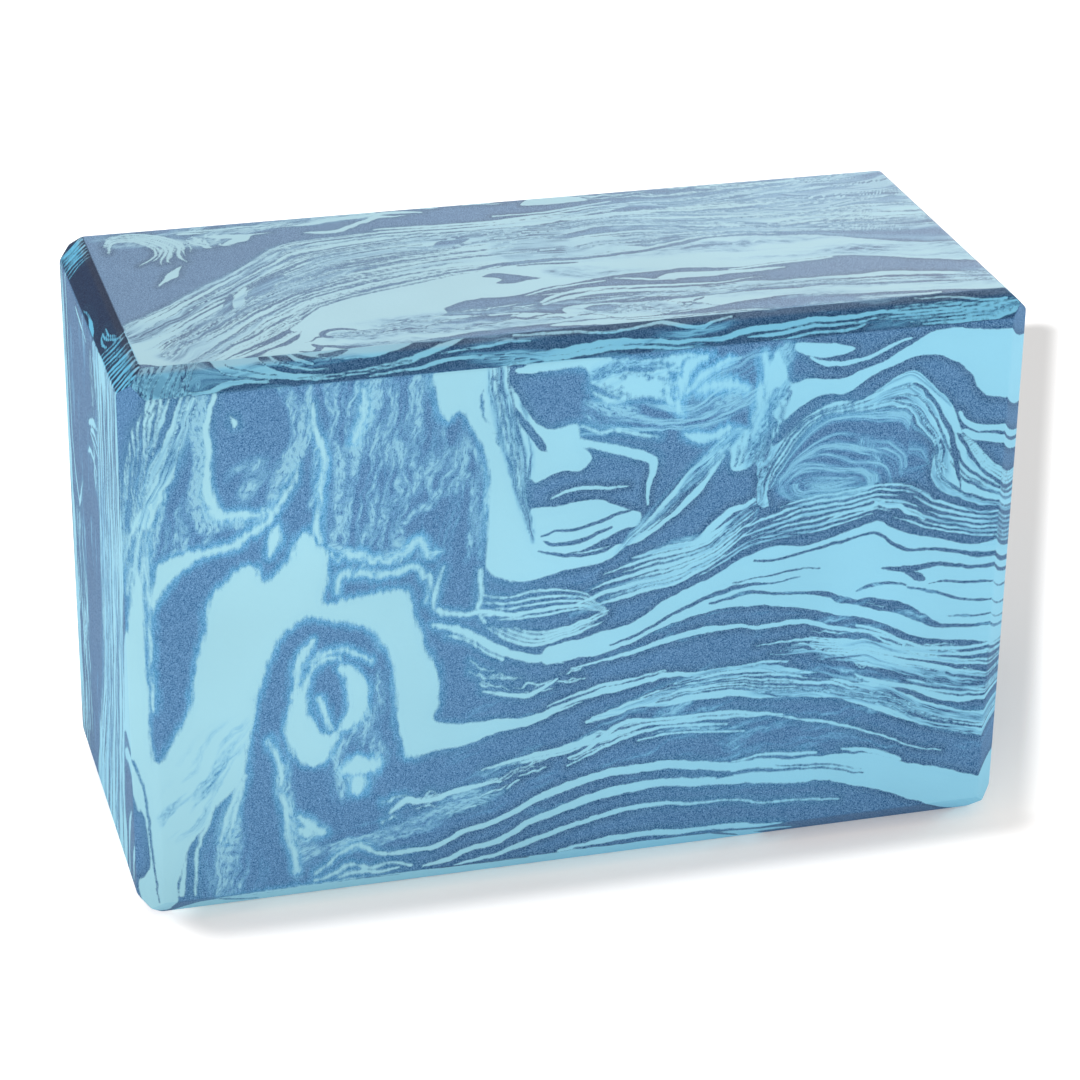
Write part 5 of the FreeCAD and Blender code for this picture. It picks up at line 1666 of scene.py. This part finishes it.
class YogaBlockStage(bpy.types.PropertyGroup):
    """The plain floor, the light and the camera."""

    floor_width: distance("Floor Width", "Side of the square floor", 14.0)
    floor_colour: triple("Floor", "Colour of the floor", (0.88, 0.80, 0.75))
    floor_back_colour: triple(
        "Floor Behind", "Colour of the floor behind the block", (0.763, 0.751, 0.742)
    )
    floor_glow: figure("Floor Glow", "Light from the pale floor under the block", 0.24, min=0.0)
    floor_far_glow: figure(
        "Far Glow", "Light from the pale floor away from the block", 0.65, min=0.0
    )
    glow_reach: distance("Glow Reach", "How far from the block the far glow sets in", 0.13)
    back_from: distance("Back From", "Where the floor turns to its colour behind", -0.065)
    back_to: distance("Back To", "Where the floor has its colour behind", 0.06)
    shade_slant: figure(
        "Shade Slant", "Run to the right of the floor's shade as it goes back", 0.4514
    )
    shade_start: distance("Shade Start", "Where the shade sets in, from the left end", 0.0205)
    shade_depth: distance("Shade Depth", "Run of the shade from front to back", 0.312)
    shade_reach: distance("Shade Reach", "Width of the full shade past the block", 0.0045)
    shade_blur: distance("Shade Blur", "Width of the shade's soft edge", 0.0115)
    shade_glow: figure(
        "Shade Glow", "Light from the pale floor in the shade in front", 0.262, min=0.0
    )
    sky_strength: figure("Sky", "Strength of the white light from all round", 1.08, min=0.0)
    sky_fall: figure("Sky Fall", "Share of that light left overhead", 0.5, subtype="FACTOR")
    lamp_power: figure("Lamp", "Power of the broad lamp above", 6.5, unit="POWER")
    lamp_width: distance("Lamp Width", "Side of the square lamp", 1.1)
    lamp_place: triple("Lamp Place", "Where the lamp hangs", (-0.45, 0.45, 1.3), "TRANSLATION")
    sheen_power: figure("Sheen", "Power of the panel mirrored in the top", 7.0, unit="POWER")
    sheen_width: distance("Sheen Width", "Side of that square panel", 0.6)
    sheen_place: triple("Sheen Place", "Where the panel stands", (0.62, 1.0, 0.5), "TRANSLATION")
    lens: figure("Lens", "Focal length of the camera", 115.57, unit="CAMERA")
    camera_place: triple(
        "Camera Place", "Where the camera stands", (-0.22057, -0.78668, 0.46093), "TRANSLATION"
    )
    camera_right: triple(
        "Camera Right", "The camera's right hand", (0.96383, -0.26621, 0.01243), "DIRECTION"
    )
    camera_up: triple(
        "Camera Up", "The camera's upward direction", (0.10404, 0.41879, 0.90210), "DIRECTION"
    )


def draw_plies(foam):
    """Draws every ply of one foam."""
    material = foam_material(f"marbled_{foam}_foam")
    for index, node in enumerate(PLIES):
        if node.startswith(foam):
            draw_ply(index, material)


class YOGA_OT_slate_plies(bpy.types.Operator):
    """Draw the plies of grey-blue foam"""

    bl_idname = "yoga_block.slate_plies"
    bl_label = "Slate Plies"

    def execute(self, context):
        draw_plies("slate")
        return {"FINISHED"}


class YOGA_OT_aqua_plies(bpy.types.Operator):
    """Draw the plies of pale blue-green foam"""

    bl_idname = "yoga_block.aqua_plies"
    bl_label = "Aqua Plies"

    def execute(self, context):
        draw_plies("aqua")
        return {"FINISHED"}


def floor_material(values):
    """The pale floor: it glows, less so near the block, and is seen and mirrored with a soft-edged shade."""
    material = bpy.data.materials.new("floor")
    material.use_nodes = True
    tree = material.node_tree
    shader = tree.nodes["Principled BSDF"]
    shader.inputs["Roughness"].default_value = 1.0
    shader.inputs["Specular IOR Level"].default_value = 0.0
    shader.inputs["Emission Strength"].default_value = 1.0
    place = add_node(tree, "ShaderNodeTexCoord").outputs["Object"]
    half_x = CAD_SIZE.x / 2
    half_y = CAD_SIZE.y / 2
    gap = box_gap(tree, place, (half_x, half_y, 1.0))
    cast = ramp(tree, gap, 0.0, values.glow_reach, values.floor_glow, values.floor_far_glow)

    # the shade lies in front of the block and slants back to its right
    spot = add_node(tree, "ShaderNodeSeparateXYZ", {0: place}).outputs
    behind = calc(tree, "MAXIMUM", calc(tree, "ADD", spot["Y"], half_y), 0.0)
    across = calc(tree, "MULTIPLY_ADD", behind, -values.shade_slant, spot["X"])
    short = values.shade_start / 2
    deep = values.shade_depth / 2
    across = calc(tree, "SUBTRACT", across, short)
    along = calc(tree, "SUBTRACT", spot["Y"], deep - half_y)
    slanted = add_node(tree, "ShaderNodeCombineXYZ", {0: across, 1: along}).outputs[0]
    gap = box_gap(tree, slanted, (half_x - short, deep, 1.0))
    back = ramp(tree, spot["Y"], values.back_from, values.back_to)
    dim = calc(tree, "MULTIPLY_ADD", back, -values.shade_glow, values.shade_glow)
    clear = values.shade_reach + values.shade_blur
    seen = ramp(tree, gap, values.shade_reach, clear, dim, values.floor_far_glow)
    rays = add_node(tree, "ShaderNodeLightPath").outputs
    shown = calc(tree, "MAXIMUM", rays["Is Camera Ray"], rays["Is Glossy Ray"])
    shown = calc(tree, "MAXIMUM", shown, rays["Is Transmission Ray"])
    glow = calc(tree, "MULTIPLY_ADD", shown, calc(tree, "SUBTRACT", seen, cast), cast)
    tree.links.new(glow, shader.inputs["Emission Color"])
    # the floor is tinted warm in front, so that the blue light from the block leaves its shade grey, and
    # greyer and darker behind, where the painted shade lies
    colour = blend(tree, back, opaque(values.floor_colour), opaque(values.floor_back_colour))
    tree.links.new(colour, shader.inputs["Base Color"])
    return material


def lay_floor(scene, values):
    """Lays the square floor under the block."""
    half = values.floor_width / 2
    level = CAD_BOX[0].z
    mesh = bpy.data.meshes.new("floor")
    corners = [(-half, -half, level), (half, -half, level), (half, half, level), (-half, half, level)]
    mesh.from_pydata(corners, [], [(0, 1, 2, 3)])
    mesh.materials.append(floor_material(values))
    floor = bpy.data.objects.new("floor", mesh)
    scene.collection.objects.link(floor)


def light_sky(scene, values):
    """White light from all round, weaker overhead."""
    world = bpy.data.worlds.new("sky")
    world.use_nodes = True
    tree = world.node_tree
    sky = tree.nodes["Background"]
    sky.inputs["Color"].default_value = opaque((1.0, 1.0, 1.0))
    look = add_node(tree, "ShaderNodeTexCoord").outputs["Generated"]
    way = add_node(tree, "ShaderNodeSeparateXYZ", {0: look}).outputs
    level_light = values.sky_strength
    strength = ramp(tree, way["Z"], 0.0, 1.0, level_light, level_light * values.sky_fall)
    tree.links.new(strength, sky.inputs["Strength"])
    scene.world = world


def hang_lamps(scene, values):
    """The broad lamp above, and the panel whose light shows only as a sheen."""
    middle = (CAD_BOX[0] + CAD_BOX[1]) / 2
    for name in ("lamp", "sheen"):
        light = bpy.data.lights.new(name, "AREA")
        light.energy = getattr(values, name + "_power")
        light.size = getattr(values, name + "_width")
        lamp = bpy.data.objects.new(name, light)
        lamp.location = getattr(values, name + "_place")
        lamp.rotation_euler = (middle - lamp.location).to_track_quat("-Z", "Y").to_euler()
        lamp.visible_diffuse = name == "lamp"
        scene.collection.objects.link(lamp)


def set_camera(scene, values):
    """The camera, turned by its right hand and its upward direction."""
    lens = bpy.data.cameras.new("camera")
    lens.lens = values.lens
    lens.sensor_width = 36.0
    lens.clip_end = 100.0
    camera = bpy.data.objects.new("camera", lens)
    right = Vector(values.camera_right).normalized()
    up = Vector(values.camera_up).normalized()
    turn = Matrix((right, up, right.cross(up))).transposed()
    camera.matrix_world = Matrix.Translation(values.camera_place) @ turn.to_4x4()
    scene.collection.objects.link(camera)
    scene.camera = camera


class YOGA_OT_stage(bpy.types.Operator):
    """Lay the floor, hang the lamps and set up the camera"""

    bl_idname = "yoga_block.stage"
    bl_label = "Stage"

    def execute(self, context):
        values = context.scene.yoga_block_stage
        for step in (lay_floor, light_sky, hang_lamps, set_camera):
            step(context.scene, values)
        context.scene.view_settings.view_transform = "Standard"
        return {"FINISHED"}


class YOGA_PT_panel(bpy.types.Panel):
    """Sizes, colours and steps of the yoga block"""

    bl_idname = "YOGA_PT_panel"
    bl_label = "Yoga Block"
    bl_space_type = "VIEW_3D"
    bl_region_type = "UI"
    bl_category = "Yoga Block"

    def draw(self, context):
        for group in ("yoga_block_sizes", "yoga_block_colours", "yoga_block_stage"):
            values = getattr(context.scene, group)
            column = self.layout.column()
            for key in values.__annotations__:
                column.prop(values, key)
        for step in OPERATORS:
            self.layout.operator(step.bl_idname)


OPERATORS = (YOGA_OT_slate_plies, YOGA_OT_aqua_plies, YOGA_OT_stage)
GROUPS = (YogaBlockSizes, YogaBlockColours, YogaBlockStage)


def register():
    """Register the classes and their settings."""
    for entry in GROUPS + OPERATORS + (YOGA_PT_panel,):
        bpy.utils.register_class(entry)
    bpy.types.Scene.yoga_block_sizes = PointerProperty(type=YogaBlockSizes)
    bpy.types.Scene.yoga_block_colours = PointerProperty(type=YogaBlockColours)
    bpy.types.Scene.yoga_block_stage = PointerProperty(type=YogaBlockStage)


def unregister():
    """Take the classes and their settings away."""
    del bpy.types.Scene.yoga_block_stage
    del bpy.types.Scene.yoga_block_colours
    del bpy.types.Scene.yoga_block_sizes
    for entry in reversed(GROUPS + OPERATORS + (YOGA_PT_panel,)):
        bpy.utils.unregister_class(entry)


def main():
    """Draw the block and its stage."""
    register()
    bpy.ops.yoga_block.slate_plies()
    bpy.ops.yoga_block.aqua_plies()
    bpy.ops.yoga_block.stage()


if __name__ == "__main__":
    main()
